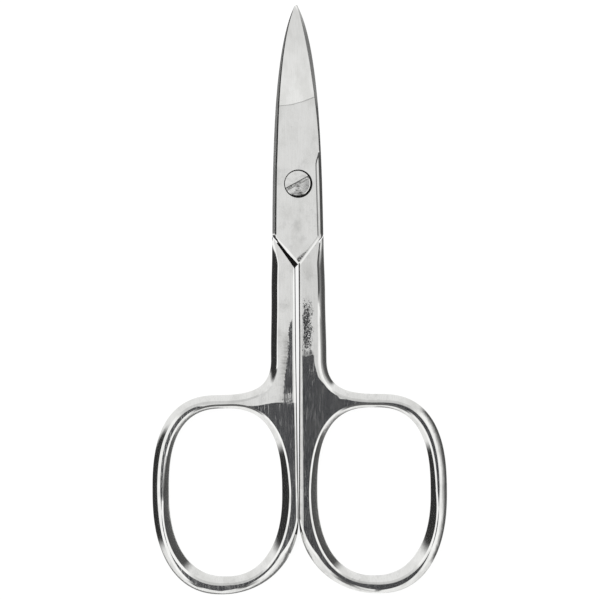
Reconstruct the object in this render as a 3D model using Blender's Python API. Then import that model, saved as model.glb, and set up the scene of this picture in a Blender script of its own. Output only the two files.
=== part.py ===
"""Curved nail scissors: two forged halves that cross in a lap joint and turn on a slotted pivot screw.

The pair lies closed on its back. +X is to the right, +Y runs to the tips and +Z points up, at the eye.
The origin is on the resting plane, under the middle of the pair's length and width.
Each half is drawn in its own frame: the pivot is at the origin, the joint's middle plane is z = 0, the
blade runs along +Y, and the shank and bow are at +X. The back half is the same forging turned half a
turn about Y, except that its blade curls the other way, so that both tips rise together.
"""

import math

import bmesh
import bpy
from mathutils import Vector
from mathutils.geometry import interpolate_bezier, tessellate_polygon

MM = 0.001

# Reach of the pair from its pivot
BLADE_REACH = 27.2 * MM
HANDLE_REACH = 62.8 * MM

# Thickness across the lap joint and the two face levels
THICKNESS = 3.2 * MM
RICASSO_DROP = 0.14 * MM
BLADE_CLEARANCE = 0.06 * MM

# Finger opening and the limbs of metal round it. The inner limb is measured from the pair's middle
OPENING_WIDTH = 17.3 * MM
OPENING_LENGTH = 25.75 * MM
INNER_LIMB = 2.72 * MM
OUTER_LIMB = 2.53 * MM
TOP_LIMB = 2.05 * MM
END_LIMB = 2.7 * MM
BOW_CREST_OFFSET = 0.6 * MM

# Shank: half widths of the pair at its shoulder, waist and fork, and where each lies below the pivot
SHOULDER_HALF_WIDTH = 3.93 * MM
WAIST_HALF_WIDTH = 4.12 * MM
FORK_HALF_WIDTH = 4.27 * MM
SHANK_TOP_BELOW = 8.1 * MM
WAIST_BELOW = 17.0 * MM
FORK_BELOW = 27.0 * MM

# Slit between the shanks, which closes where the bows touch, a little left of the middle
SLIT_WIDTH = 0.5 * MM
SLIT_OFFSET = 0.17 * MM
STOP_CLEARANCE = 0.04 * MM
SLIT_TAPER_BELOW = 25.0 * MM
STOP_START_BELOW = 50.0 * MM
STOP_END_BELOW = 51.2 * MM

# Ricasso, the flat of each half that carries the pivot
SPINE_HALF_WIDTH = 3.87 * MM
RICASSO_EDGE_HALF_WIDTH = 3.05 * MM
RICASSO_NECK_HALF_WIDTH = 2.86 * MM
NECK_ABOVE = 2.7 * MM
LAP_CORNER_BELOW = 8.07 * MM
LAP_CORNER_RADIUS = 2.6 * MM
LAP_ANGLE = math.radians(47.9)
LAP_END_BELOW = 13.4 * MM
LAP_BEVEL_WIDTH = 0.5 * MM
LAP_BEVEL_DROP = 0.2 * MM

# Shoulder that the other half's ricasso drops in beside, and the step up to the shank's face
SHOULDER_CORNER_BELOW = 8.26 * MM
SHOULDER_ANGLE = math.radians(53.1)
STEP_TOP_BELOW = 8.05 * MM
STEP_FOOT_BELOW = 12.2 * MM
STEP_BEVEL_WIDTH = 0.3 * MM
EDGE_RECESS_BELOW = 9.1 * MM
EDGE_RECESS_ANGLE = math.radians(20)

# Blade: plan shape, curl and section
SPINE_TIP_HALF_WIDTH = 0.13 * MM
EDGE_TIP_HALF_WIDTH = 0.02 * MM
HEEL_ABOVE = 5.0 * MM
HEEL_HALF_WIDTH = 3.3 * MM
TIP_ANGLE = math.radians(28)
BEND_ANGLE = math.radians(5)
CURL_RADIUS = 60.0 * MM
GRIND_START_ABOVE = 12.35 * MM
GRIND_SLANT = math.radians(15.5)
GRIND_SAG = 0.26 * MM
SPINE_TIP_THICKNESS = 0.7 * MM
EDGE_TIP_THICKNESS = 0.62 * MM
SPINE_CHAMFER = 0.62 * MM
SPINE_CHAMFER_DROP = 0.56 * MM
SPINE_FACET = 0.22 * MM
SPINE_FACET_DROP = 0.17 * MM
SPINE_BREAK_WIDTH = 0.35 * MM
SPINE_BREAK_HEIGHT = 0.3 * MM
CUTTING_BEVEL_WIDTH = 0.14 * MM
CUTTING_LAND = 0.25 * MM
HOLLOW_DEPTH = 0.06 * MM
BLADE_RELIEF = 0.02 * MM

# Sides of the forging: how far each leans in above its upright flank, and the bevel along its land
BEVEL_DROP = 0.17 * MM
SHANK_LEAN = 0.92 * MM
SHOULDER_LEAN = 0.1 * MM
LEAN_RAMP_END_BELOW = 12.4 * MM
SLIT_LEAN, SLIT_BEVEL = 0.12 * MM, 0.26 * MM
SIDE_ANGLES = (math.radians(43), math.radians(37))
OPENING_ANGLES = (math.radians(41.5), math.radians(39))

# What differs between the halves, because their sides are ground and polished by hand
BACK_LEAN_RAMP_START_BELOW, FRONT_LEAN_RAMP_START_BELOW = 9.2 * MM, 5.6 * MM
BACK_SHANK_BEVEL, FRONT_SHANK_BEVEL = 0.14 * MM, 0.19 * MM
BACK_FORK_BEVEL, FRONT_FORK_BEVEL = 0.14 * MM, 0.42 * MM

# Shares of a limb's width that its side leans in by and that its bevel takes, at each place round the bow
BACK_BOW_SIDE_SHARES = (0.3, 0.18)
FRONT_BOW_SIDE_SHARES = (0.32, 0.13)
BOW_TOP_SHARES = (0.45, 0.19)
BOW_END_SHARES = (0.13, 0.07)
BACK_OPENING_SIDE_SHARES = (0.3, 0.09)
FRONT_OPENING_SIDE_SHARES = (0.27, 0.1)
OPENING_TOP_SHARES = (0.16, 0.15)
OPENING_INNER_SHARES = (0.32, 0.1)
OPENING_END_SHARES = (0.36, 0.13)

# Pivot screw and its seat
SCREW_HEAD_DIAMETER = 3.9 * MM
SEAT_CLEARANCE = 0.22 * MM
SEAT_DEPTH = 0.9 * MM
HEAD_UNDER_GAP = 0.03 * MM
HEAD_RIM_SINK = 0.08 * MM
HEAD_DOME = 0.12 * MM
SCREW_NECK_DIAMETER = 2.1 * MM
SCREW_THREAD_DIAMETER = 1.9 * MM
BORE_CLEARANCE = 0.05 * MM
SCREW_END_SINK = 0.06 * MM
SCREW_END_CHAMFER = 0.15 * MM
SLOT_WIDTH = 0.46 * MM
SLOT_DEPTH = 0.45 * MM
SLOT_ANGLE = math.radians(28)

# How far cutters run past what they cut
OVERRUN = 0.5 * MM
JOIN_OVERLAP = 0.02 * MM

# Shapes of the curves
BOW_TOP_POWER = 2.6
BOW_SIDE_POWER = 2.33
BOW_END_POWER = 2.05
OPENING_TOP_POWER = 2.65
OPENING_END_POWER = 2.3
FORK_PULL_SHARES = (0.65, 0.79)
SHANK_PULL_SHARE = 0.4
SPINE_PULL_SHARES = (0.35, 0.2)
SPINE_LEAN = 0.01
EDGE_PULL_SHARES = (0.35, 0.1)
EDGE_LEAN = 0.02
CORNER_BREAK_SHARE = 0.04
TAPER_POWER = 1.6
OUTER_FACE_SHARES = (0, 1 / 3, 2 / 3, 1)
INNER_FACE_SHARES = (0.75, 0.5, 0.25)

# Mesh steps
QUARTER_STEPS = 18
FORK_STEPS = 14
SIDE_STEPS = 2
CORNER_STEPS = 4
BLADE_ROWS_BELOW_GRIND = 5
BLADE_ROWS_ABOVE_GRIND = 13
TURN_STEPS = 48
DOME_STEPS = 4
STOP_BLEND_STEPS = 6
MITRE_LIMIT = 0.3
HALVINGS = 40
SHARP_ANGLE = math.radians(12)

# Lines worked out from the sizes above
HALF_THICKNESS = THICKNESS / 2
PIVOT_Y = (HANDLE_REACH - BLADE_REACH) / 2
RICASSO_FACE = HALF_THICKNESS - RICASSO_DROP
CONTACT_FACE = BLADE_CLEARANCE / 2
SIDE_TOP = HALF_THICKNESS - BEVEL_DROP
OPENING_X = INNER_LIMB + OPENING_WIDTH / 2
BOW_SIDE_X = INNER_LIMB + OPENING_WIDTH + OUTER_LIMB
OPENING_Y = -HANDLE_REACH + END_LIMB + OPENING_LENGTH / 2
BOW_CREST_X = OPENING_X + BOW_CREST_OFFSET
BOW_TOP_Y = OPENING_Y + OPENING_LENGTH / 2 + TOP_LIMB
BACK_WORK = {
    "offset": SLIT_OFFSET,
    "curl_way": -1,
    "ramp_start": BACK_LEAN_RAMP_START_BELOW,
    "shank_bevel": BACK_SHANK_BEVEL,
    "fork_bevel": BACK_FORK_BEVEL,
    "bow_side": BACK_BOW_SIDE_SHARES,
    "opening_side": BACK_OPENING_SIDE_SHARES,
}
FRONT_WORK = {
    "offset": -SLIT_OFFSET,
    "curl_way": 1,
    "ramp_start": FRONT_LEAN_RAMP_START_BELOW,
    "shank_bevel": FRONT_SHANK_BEVEL,
    "fork_bevel": FRONT_FORK_BEVEL,
    "bow_side": FRONT_BOW_SIDE_SHARES,
    "opening_side": FRONT_OPENING_SIDE_SHARES,
}


def clear_scene():
    for thing in list(bpy.data.objects):
        bpy.data.objects.remove(thing)


def metal(name, shade, roughness):
    """A bright plated steel, with the grey that the piece shows."""
    made = bpy.data.materials.new(name)
    made.use_nodes = True
    surface = made.node_tree.nodes["Principled BSDF"]
    surface.inputs["Base Color"].default_value = (shade, shade, shade, 1)
    surface.inputs["Metallic"].default_value = 1
    surface.inputs["Roughness"].default_value = roughness
    return made


def new_object(name, mesh, material=None):
    made = bpy.data.objects.new(name, mesh)
    bpy.context.scene.collection.objects.link(made)
    if material:
        mesh.materials.append(material)
    return made


def mesh_of(name, shell):
    bmesh.ops.recalc_face_normals(shell, faces=shell.faces)
    mesh = bpy.data.meshes.new(name)
    shell.to_mesh(mesh)
    shell.free()
    mesh.shade_smooth()
    mesh.set_sharp_from_angle(angle=SHARP_ANGLE)
    return mesh


def cut(target, cutter, operation="DIFFERENCE"):
    """Adds a Boolean on target, with cutter kept as a wire guide in target's own frame."""
    cutter.hide_render = True
    cutter.display_type = "WIRE"
    cutter.parent = target
    step = target.modifiers.new(cutter.name, "BOOLEAN")
    step.operation = operation
    step.object = cutter


def blend(low, high, share):
    return low + (high - low) * share


def bezier(start, start_pull, end_pull, end, steps):
    """Points of a cubic from start to end, both in the list."""
    knots = [Vector((p[0], p[1], 0)) for p in (start, start_pull, end_pull, end)]
    return [Vector((p.x, p.y)) for p in interpolate_bezier(*knots, steps + 1)]


def rounded_quarter(centre, across, along, power, first_angle, steps):
    """A quarter of a rounded box, whose corner is fuller than an ellipse's where power is over 2."""
    points = []
    for step in range(steps + 1):
        angle = first_angle + math.pi / 2 * step / steps
        turn = Vector((math.cos(angle), math.sin(angle)))
        reach = (abs(turn.x / across) ** power + abs(turn.y / along) ** power) ** (-1 / power)
        points.append(Vector(centre) + turn * reach)
    return points


def slit_side(offset):
    """The side of the shank and bow along the slit, from the step's foot down to the stop's end."""
    top_x = SLIT_WIDTH / 2 + offset
    stop_x = STOP_CLEARANCE / 2 + offset
    return [
        Vector((top_x, step_line(top_x))),
        Vector((top_x, -blend(STEP_FOOT_BELOW, SLIT_TAPER_BELOW, 0.5))),
        Vector((top_x, -SLIT_TAPER_BELOW)),
        Vector((blend(top_x, stop_x, 0.5), -blend(SLIT_TAPER_BELOW, STOP_START_BELOW, 0.5))),
        Vector((stop_x, -STOP_START_BELOW)),
    ]


def step_line(x):
    """Height of the foot of the step between the ricasso's face and the shank's face."""
    rise = (STEP_FOOT_BELOW - STEP_TOP_BELOW) / RICASSO_EDGE_HALF_WIDTH
    return -STEP_FOOT_BELOW + rise * x


def slope_of(limb, shares):
    """(lean, bevel) of a side, from the shares of its limb's width."""
    return Vector(shares) * limb


def sloped(points, first, last):
    """(point, lean, bevel) for each of the points, as the side changes from one slope to another."""
    made = []
    for step, point in enumerate(points):
        lean, bevel = first.lerp(last, step / (len(points) - 1))
        made.append((point, lean, bevel))
    return made


def handle_outline(work):
    """Outline of the shank and bow, anticlockwise, as (point, lean, bevel) for each corner."""
    offset = work["offset"]
    slit_slope = Vector((SLIT_LEAN, SLIT_BEVEL))
    fork_slope = Vector((SHANK_LEAN, work["fork_bevel"]))
    end_slope = slope_of(END_LIMB, BOW_END_SHARES)
    side_slope = slope_of(OUTER_LIMB, work["bow_side"])
    stop_slope = slope_of(END_LIMB, work["bow_side"])
    top_slope = slope_of(TOP_LIMB, BOW_TOP_SHARES)
    outline = sloped(slit_side(offset), slit_slope, slit_slope)

    stop_x = STOP_CLEARANCE / 2 + offset
    end = rounded_quarter(
        (BOW_CREST_X, -STOP_END_BELOW),
        BOW_CREST_X - stop_x,
        HANDLE_REACH - STOP_END_BELOW,
        BOW_END_POWER,
        math.pi,
        QUARTER_STEPS,
    )
    outline += sloped(end[: STOP_BLEND_STEPS + 1], slit_slope, stop_slope)
    outline += sloped(end[STOP_BLEND_STEPS:], stop_slope, end_slope)[1:]

    across = BOW_SIDE_X - BOW_CREST_X
    middle = (BOW_CREST_X, OPENING_Y)
    side = rounded_quarter(
        middle, across, HANDLE_REACH + OPENING_Y, BOW_SIDE_POWER, 1.5 * math.pi, QUARTER_STEPS
    )
    top = rounded_quarter(middle, across, BOW_TOP_Y - OPENING_Y, BOW_TOP_POWER, 0, QUARTER_STEPS)
    outline += sloped(side, end_slope, side_slope)[1:] + sloped(top, side_slope, top_slope)[1:]

    crest = Vector((BOW_CREST_X, BOW_TOP_Y))
    fork = Vector((FORK_HALF_WIDTH, -FORK_BELOW))
    pull_x = (crest.x - fork.x) * FORK_PULL_SHARES[0]
    pull_y = (fork.y - crest.y) * FORK_PULL_SHARES[1]
    run = bezier(crest, crest - Vector((pull_x, 0)), fork - Vector((0, pull_y)), fork, FORK_STEPS)
    outline += sloped(run, top_slope, fork_slope)[1:]

    waist = Vector((WAIST_HALF_WIDTH, -WAIST_BELOW))
    shoulder = Vector((SHOULDER_HALF_WIDTH, -SHANK_TOP_BELOW))
    lower_pull = Vector((0, (waist.y - fork.y) * SHANK_PULL_SHARE))
    upper_pull = Vector((0, (shoulder.y - waist.y) * SHANK_PULL_SHARE))
    lower = bezier(fork, fork + lower_pull, waist - lower_pull, waist, CORNER_STEPS)
    upper = bezier(waist, waist + upper_pull, shoulder - upper_pull, shoulder, 2 * CORNER_STEPS)
    ramp = LEAN_RAMP_END_BELOW - work["ramp_start"]
    for point in lower[1:] + upper[1:]:
        share = min(1, max(0, (-point.y - work["ramp_start"]) / ramp))
        fork_share = max(0, (waist.y - point.y) / (waist.y - fork.y))
        bevel = blend(work["shank_bevel"], work["fork_bevel"], fork_share)
        outline.append((point, blend(SHOULDER_LEAN, SHANK_LEAN, share), bevel))

    step_top = Vector((RICASSO_EDGE_HALF_WIDTH, step_line(RICASSO_EDGE_HALF_WIDTH)))
    outline.append((step_top, SHOULDER_LEAN, STEP_BEVEL_WIDTH))
    return outline


def opening_outline(work):
    """Outline of the finger opening, clockwise, so that its inward side is the metal."""
    middle = (OPENING_X, OPENING_Y)
    across, along = OPENING_WIDTH / 2, OPENING_LENGTH / 2
    slopes = [
        slope_of(OUTER_LIMB, work["opening_side"]),
        slope_of(TOP_LIMB, OPENING_TOP_SHARES),
        slope_of(INNER_LIMB, OPENING_INNER_SHARES),
        slope_of(END_LIMB, OPENING_END_SHARES),
    ]
    outline = []
    for turn, slope in enumerate(slopes):
        power = OPENING_TOP_POWER if turn < 2 else OPENING_END_POWER
        quarter = rounded_quarter(middle, across, along, power, turn * math.pi / 2, QUARTER_STEPS)
        outline += sloped(quarter, slope, slopes[(turn + 1) % len(slopes)])[:-1]
    return outline[::-1]


def moved_in(outline, index, depths):
    """The outline's corner moved in, so that the edges before and after it move by their own depths."""
    point = outline[index][0]
    before = (point - outline[index - 1][0]).normalized()
    after = (outline[(index + 1) % len(outline)][0] - point).normalized()
    normals = [Vector((-before.y, before.x)), Vector((-after.y, after.x))]
    turn = before.cross(after)
    if abs(turn) < MITRE_LIMIT:
        return point + (normals[0] + normals[1]).normalized() * sum(depths) / 2
    return point + (after * depths[0] - before * depths[1]) / turn


def side_profile(lean, bevel, angles):
    """(distance in, height) up one side: the flank's top, its broken corner, the leaning side and the bevel.
    The leaning side starts at the first of the angles and ends at the second."""
    foot_angle, head_angle = angles
    radius = lean / (math.sin(foot_angle) - math.sin(head_angle))
    rise = radius * (math.cos(head_angle) - math.cos(foot_angle))
    foot = SIDE_TOP - rise
    profile = [(0, foot - lean * CORNER_BREAK_SHARE), (lean * CORNER_BREAK_SHARE, foot + rise * CORNER_BREAK_SHARE)]
    for step in range(1, SIDE_STEPS + 1):
        angle = blend(foot_angle, head_angle, step / SIDE_STEPS)
        inset = radius * (math.sin(foot_angle) - math.sin(angle))
        profile.append((inset, foot + radius * (math.cos(angle) - math.cos(foot_angle))))
    return profile + [(lean + bevel, HALF_THICKNESS)]


def rings_of(outline, angles):
    """Rings of 3-D points from the bottom land to the top land."""
    profiles = [side_profile(lean, bevel, angles) for _, lean, bevel in outline]
    rings = []
    for level in range(len(profiles[0])):
        ring = []
        for index, profile in enumerate(profiles):
            flat = moved_in(outline, index, (profiles[index - 1][level][0], profile[level][0]))
            ring.append(Vector((flat.x, flat.y, profile[level][1])))
        rings.append(ring)
    below = [[Vector((p.x, p.y, -p.z)) for p in ring] for ring in reversed(rings)]
    return below + rings


def add_strips(shell, rings):
    """Adds the rings and the faces between them. Returns the first and last rings' vertices."""
    rows = [[shell.verts.new(p) for p in ring] for ring in rings]
    for low, high in zip(rows, rows[1:]):
        for index in range(len(low)):
            after = (index + 1) % len(low)
            shell.faces.new((low[index], low[after], high[after], high[index]))
    return rows[0], rows[-1]


def handle_mesh(name, work):
    """The shank and bow: a leaning side round the outline and round the opening, with flat lands."""
    shell = bmesh.new()
    ends = [
        add_strips(shell, rings_of(handle_outline(work), SIDE_ANGLES)),
        add_strips(shell, rings_of(opening_outline(work), OPENING_ANGLES)),
    ]
    for land in (0, 1):
        loops = [end[land] for end in ends]
        corners = loops[0] + loops[1]
        for triangle in tessellate_polygon([[v.co for v in loop] for loop in loops]):
            shell.faces.new([corners[index] for index in triangle])
    return mesh_of(name, shell)


def spine_x(y):
    """Distance from the middle to the blade's spine, at a height above the pivot."""
    return curve_at(y, -LAP_CORNER_BELOW, SPINE_HALF_WIDTH, SPINE_TIP_HALF_WIDTH, SPINE_PULL_SHARES, SPINE_LEAN)


def edge_x(y):
    """Distance from the middle to the cutting edge or, below the heel, to the ricasso's edge, which runs
    in under the shank's face below the step."""
    if y >= HEEL_ABOVE:
        return curve_at(y, HEEL_ABOVE, HEEL_HALF_WIDTH, EDGE_TIP_HALF_WIDTH, EDGE_PULL_SHARES, EDGE_LEAN)
    if y >= NECK_ABOVE:
        turn = math.pi * (y - NECK_ABOVE) / (HEEL_ABOVE - NECK_ABOVE)
        return blend(RICASSO_NECK_HALF_WIDTH, HEEL_HALF_WIDTH, (1 - math.cos(turn)) / 2)
    if y >= -STEP_TOP_BELOW:
        share = (NECK_ABOVE - y) / (NECK_ABOVE + STEP_TOP_BELOW)
        return blend(RICASSO_NECK_HALF_WIDTH, RICASSO_EDGE_HALF_WIDTH, share)
    share = (-STEP_TOP_BELOW - y) / (LAP_END_BELOW - STEP_TOP_BELOW)
    return blend(RICASSO_EDGE_HALF_WIDTH, RICASSO_EDGE_HALF_WIDTH / 2, share)


def curve_at(y, start_y, start_x, tip_x, pull_shares, lean):
    """Reads x at y from the cubic that leaves the start almost along Y and meets the tip at the tip angle."""
    length = BLADE_REACH - start_y
    start_pull, tip_pull = (share * length for share in pull_shares)
    knots = (
        (start_x, start_y),
        (start_x - lean * start_pull, start_y + start_pull),
        (tip_x + tip_pull * math.sin(TIP_ANGLE), BLADE_REACH - tip_pull * math.cos(TIP_ANGLE)),
        (tip_x, BLADE_REACH),
    )
    low, high = 0.0, 1.0
    for _ in range(HALVINGS):
        middle = (low + high) / 2
        if cubic(middle, [k[1] for k in knots]) < y:
            low = middle
        else:
            high = middle
    return cubic(low, [k[0] for k in knots])


def cubic(t, values):
    a, b, c, d = values
    s = 1 - t
    return a * s**3 + 3 * b * s * s * t + 3 * c * s * t * t + d * t**3


def curl(past):
    """Rise of a face at a distance past the bend, where the blade leaves the ricasso's plane."""
    if past <= 0:
        return 0
    past = min(past, CURL_RADIUS)
    return past * math.tan(BEND_ANGLE) + CURL_RADIUS - math.sqrt(CURL_RADIUS**2 - past**2)


def lap_x(y):
    """Left side of the ricasso and blade: the spine, the rounded corner and the slanting lap edge."""
    arc_start, arc_end, lap = lap_corner(LAP_CORNER_BELOW, LAP_ANGLE)
    if y >= arc_start:
        return -spine_x(y)
    if y >= arc_end:
        rise = arc_start - y
        return -SPINE_HALF_WIDTH + LAP_CORNER_RADIUS - math.sqrt(LAP_CORNER_RADIUS**2 - rise**2)
    return -SPINE_HALF_WIDTH + (-LAP_CORNER_BELOW - y) / lap


def lap_corner(corner_below, angle):
    """Heights where the rounded corner starts and ends, and the slope of the line after it."""
    turn = math.pi / 2 - angle
    tangent = LAP_CORNER_RADIUS * math.tan(turn / 2)
    start = -corner_below + tangent
    return start, start - LAP_CORNER_RADIUS * math.sin(turn), math.tan(angle)


def blade_rows():
    """(height of the row's middle, slant) from the lap's end up to the tip."""
    arc_start, arc_end, _ = lap_corner(LAP_CORNER_BELOW, LAP_ANGLE)
    rows = [-LAP_END_BELOW, -blend(STEP_FOOT_BELOW, -arc_end, 0.5)]
    rows += [blend(arc_end, arc_start, step / CORNER_STEPS) for step in range(CORNER_STEPS + 1)]
    rows += [-STEP_TOP_BELOW, arc_start / 2, 0, NECK_ABOVE]
    rows += [blend(NECK_ABOVE, HEEL_ABOVE, step / CORNER_STEPS) for step in range(1, CORNER_STEPS + 1)]
    made = [(y, 0) for y in sorted(rows)]
    for step in range(1, BLADE_ROWS_BELOW_GRIND + 1):
        share = step / BLADE_ROWS_BELOW_GRIND
        made.append((blend(HEEL_ABOVE, GRIND_START_ABOVE, share), share))
    for step in range(1, BLADE_ROWS_ABOVE_GRIND + 1):
        share = step / BLADE_ROWS_ABOVE_GRIND
        made.append((blend(GRIND_START_ABOVE, BLADE_REACH, math.sin(share * math.pi / 2)), 1 - share))
    return made


def blade_section(y, slant, curl_way):
    """One row across the ricasso or blade, as a loop from the spine's foot over the outer face and back."""
    half_run = (spine_x(max(y, 0)) + edge_x(max(y, 0))) / 2 * math.tan(GRIND_SLANT) * slant
    left_y = y - half_run
    right_y = min(y + half_run, BLADE_REACH)
    left, right = lap_x(left_y), edge_x(right_y)
    width = right - left
    full_width = SPINE_HALF_WIDTH + RICASSO_NECK_HALF_WIDTH
    scale = min(1, width / full_width)

    ground = max(0, (y - GRIND_START_ABOVE) / (BLADE_REACH - GRIND_START_ABOVE))
    full = RICASSO_FACE - CONTACT_FACE
    spine_thickness = blend(full, SPINE_TIP_THICKNESS, ground**TAPER_POWER)
    edge_thickness = blend(full, EDGE_TIP_THICKNESS, ground**TAPER_POWER)

    in_blade = y >= HEEL_ABOVE
    arc_start, arc_end, _ = lap_corner(LAP_CORNER_BELOW, LAP_ANGLE)
    lap_share = min(1, max(0, (arc_start - left_y) / (arc_start - arc_end)))
    relief = BLADE_RELIEF if in_blade else -OVERRUN
    hollow = HOLLOW_DEPTH * scale if in_blade else 0
    chamfer = blend(SPINE_CHAMFER * scale, LAP_BEVEL_WIDTH, lap_share)
    chamfer_drop = blend(SPINE_CHAMFER_DROP * scale, LAP_BEVEL_DROP, lap_share)
    facet = blend(SPINE_FACET * scale, LAP_BEVEL_WIDTH / 2, lap_share)
    facet_drop = blend(SPINE_FACET_DROP * scale, LAP_BEVEL_DROP / 2, lap_share)
    break_width = SPINE_BREAK_WIDTH * scale * (1 - lap_share)
    break_height = SPINE_BREAK_HEIGHT * scale
    bevel = CUTTING_BEVEL_WIDTH * scale if in_blade else 0
    land = CUTTING_LAND * scale if in_blade else full

    def place(x, height, face):
        across = (x - left) / width
        row_y = blend(left_y, right_y, across) - GRIND_SAG * slant * math.sin(math.pi * across)
        if face == "inner":
            # Depends on the distance from the pivot alone, so the blades keep their gap at every angle
            rise = curl_way * curl(math.hypot(x, row_y) - GRIND_START_ABOVE)
            return Vector((x, row_y, CONTACT_FACE + rise + height))
        rise = curl_way * curl(y - GRIND_START_ABOVE)
        top = blend(spine_thickness, edge_thickness, across)
        return Vector((x, row_y, CONTACT_FACE + rise + top - height))

    foot_in = break_width * (1 + max(0, -relief) / break_height)
    points = [
        place(left + foot_in, relief, "inner"),
        place(left, break_height, "inner"),
        place(left, chamfer_drop, "outer"),
        place(left + chamfer - facet, facet_drop, "outer"),
    ]
    first, last = left + chamfer, right - bevel
    points += [place(blend(first, last, share), 0, "outer") for share in OUTER_FACE_SHARES]
    points.append(place(right, land, "inner"))
    points.append(place(right, relief, "inner"))
    for share in INNER_FACE_SHARES:
        sunk = hollow * math.sin(math.pi * share)
        points.append(place(blend(left + foot_in, right, share), relief + sunk, "inner"))
    return points


def blade_mesh(name, curl_way):
    """The ricasso and blade, lofted through its rows and closed at both ends."""
    shell = bmesh.new()
    first, last = add_strips(shell, [blade_section(y, slant, curl_way) for y, slant in blade_rows()])
    shell.faces.new(first)
    shell.faces.new(last)
    return mesh_of(name, shell)


def prism(name, outline, low, high):
    """A closed prism over an outline."""
    shell = bmesh.new()
    add = [[shell.verts.new((p[0], p[1], z)) for p in outline] for z in (low, high)]
    for index in range(len(outline)):
        after = (index + 1) % len(outline)
        shell.faces.new((add[0][index], add[0][after], add[1][after], add[1][index]))
    shell.faces.new(add[0])
    shell.faces.new(add[1])
    return mesh_of(name, shell)


def lap_recess(name):
    """What is milled away under the ricasso, up to the shoulder that the other half's ricasso sits beside."""
    arc_start, arc_end, slope = lap_corner(SHOULDER_CORNER_BELOW, SHOULDER_ANGLE)
    outline = []
    for step in range(CORNER_STEPS + 1):
        y = blend(arc_start, arc_end, step / CORNER_STEPS)
        rise = arc_start - y
        x = SHOULDER_HALF_WIDTH - LAP_CORNER_RADIUS + math.sqrt(LAP_CORNER_RADIUS**2 - rise**2)
        outline.append((x, y))
    far = -SPINE_HALF_WIDTH - OVERRUN
    reach = SHOULDER_HALF_WIDTH + OVERRUN
    foot_x = -SLIT_WIDTH
    outline.append((foot_x, -SHOULDER_CORNER_BELOW - (SHOULDER_HALF_WIDTH - foot_x) * slope))
    outline += [
        (far, -SHOULDER_CORNER_BELOW - (SHOULDER_HALF_WIDTH - foot_x) * slope),
        (far, HEEL_ABOVE + OVERRUN),
        (reach, HEEL_ABOVE + OVERRUN),
        (reach, arc_start),
    ]
    return prism(name, outline, -HALF_THICKNESS - OVERRUN, CONTACT_FACE)


def edge_recess(name):
    """What is milled away beside the ricasso's straight edge, down to a short slope across the shank's face."""
    near = RICASSO_EDGE_HALF_WIDTH + JOIN_OVERLAP
    far = SHOULDER_HALF_WIDTH + OVERRUN
    drop = (far - near) * math.tan(EDGE_RECESS_ANGLE)
    outline = [(near, -EDGE_RECESS_BELOW), (far, -EDGE_RECESS_BELOW - drop), (far, 0), (near, 0)]
    return prism(name, outline, CONTACT_FACE, HALF_THICKNESS + OVERRUN)


def disc(name, diameter, low, high):
    """A round cutter about the pivot."""
    outline = []
    for step in range(TURN_STEPS):
        angle = 2 * math.pi * step / TURN_STEPS
        outline.append((diameter / 2 * math.cos(angle), diameter / 2 * math.sin(angle)))
    return prism(name, outline, low, high)


def screw_mesh(name):
    """The pivot screw, turned about Z from its profile. Its z is measured from the joint's middle plane."""
    under = RICASSO_FACE - SEAT_DEPTH + HEAD_UNDER_GAP
    rim = RICASSO_FACE - HEAD_RIM_SINK
    head, neck, thread = (d / 2 for d in (SCREW_HEAD_DIAMETER, SCREW_NECK_DIAMETER, SCREW_THREAD_DIAMETER))
    end = -RICASSO_FACE + SCREW_END_SINK
    profile = [
        (0, end),
        (thread - SCREW_END_CHAMFER, end),
        (thread, end + SCREW_END_CHAMFER),
        (thread, CONTACT_FACE),
        (neck, CONTACT_FACE + (neck - thread)),
        (neck, under),
        (head, under),
        (head, rim),
    ]
    for step in range(1, DOME_STEPS + 1):
        out = head * (1 - step / DOME_STEPS)
        profile.append((out, rim + HEAD_DOME * (1 - (out / head) ** 2)))
    shell = bmesh.new()
    verts = [shell.verts.new((x, 0, z)) for x, z in profile]
    edges = [shell.edges.new(pair) for pair in zip(verts, verts[1:])]
    bmesh.ops.spin(
        shell, geom=verts + edges, cent=(0, 0, 0), axis=(0, 0, 1), angle=2 * math.pi, steps=TURN_STEPS
    )
    bmesh.ops.remove_doubles(shell, verts=shell.verts, dist=SCREW_END_CHAMFER / TURN_STEPS)
    return mesh_of(name, shell)


def slot_mesh(name):
    """Cutter for the driver slot across the head."""
    top = RICASSO_FACE - HEAD_RIM_SINK + HEAD_DOME
    along = Vector((math.cos(SLOT_ANGLE), math.sin(SLOT_ANGLE))) * SCREW_HEAD_DIAMETER
    across = Vector((-math.sin(SLOT_ANGLE), math.cos(SLOT_ANGLE))) * SLOT_WIDTH / 2
    outline = [-along - across, along - across, along + across, -along + across]
    return prism(name, outline, top - SLOT_DEPTH, top + OVERRUN)


def add_front_half():
    """The half whose ricasso lies on top: counterbored, with the shank and bow on the right."""
    steel = metal("front_half_steel", 0.72, 0.16)
    body = new_object("front_half", handle_mesh("front_half", FRONT_WORK), steel)
    cut(body, new_object("front_edge_recess", edge_recess("front_edge_recess")))
    blade = blade_mesh("front_blade_guide", FRONT_WORK["curl_way"])
    cut(body, new_object("front_blade_guide", blade), "UNION")
    cut(body, new_object("front_lap_recess", lap_recess("front_lap_recess")))
    seat = disc(
        "front_screw_seat",
        SCREW_HEAD_DIAMETER + 2 * SEAT_CLEARANCE,
        RICASSO_FACE - SEAT_DEPTH,
        HALF_THICKNESS + OVERRUN,
    )
    cut(body, new_object("front_screw_seat", seat))
    bore = disc("front_bore", SCREW_NECK_DIAMETER + 2 * BORE_CLEARANCE, -OVERRUN, RICASSO_FACE)
    cut(body, new_object("front_bore", bore))
    body.location = (0, PIVOT_Y, HALF_THICKNESS)


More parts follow.
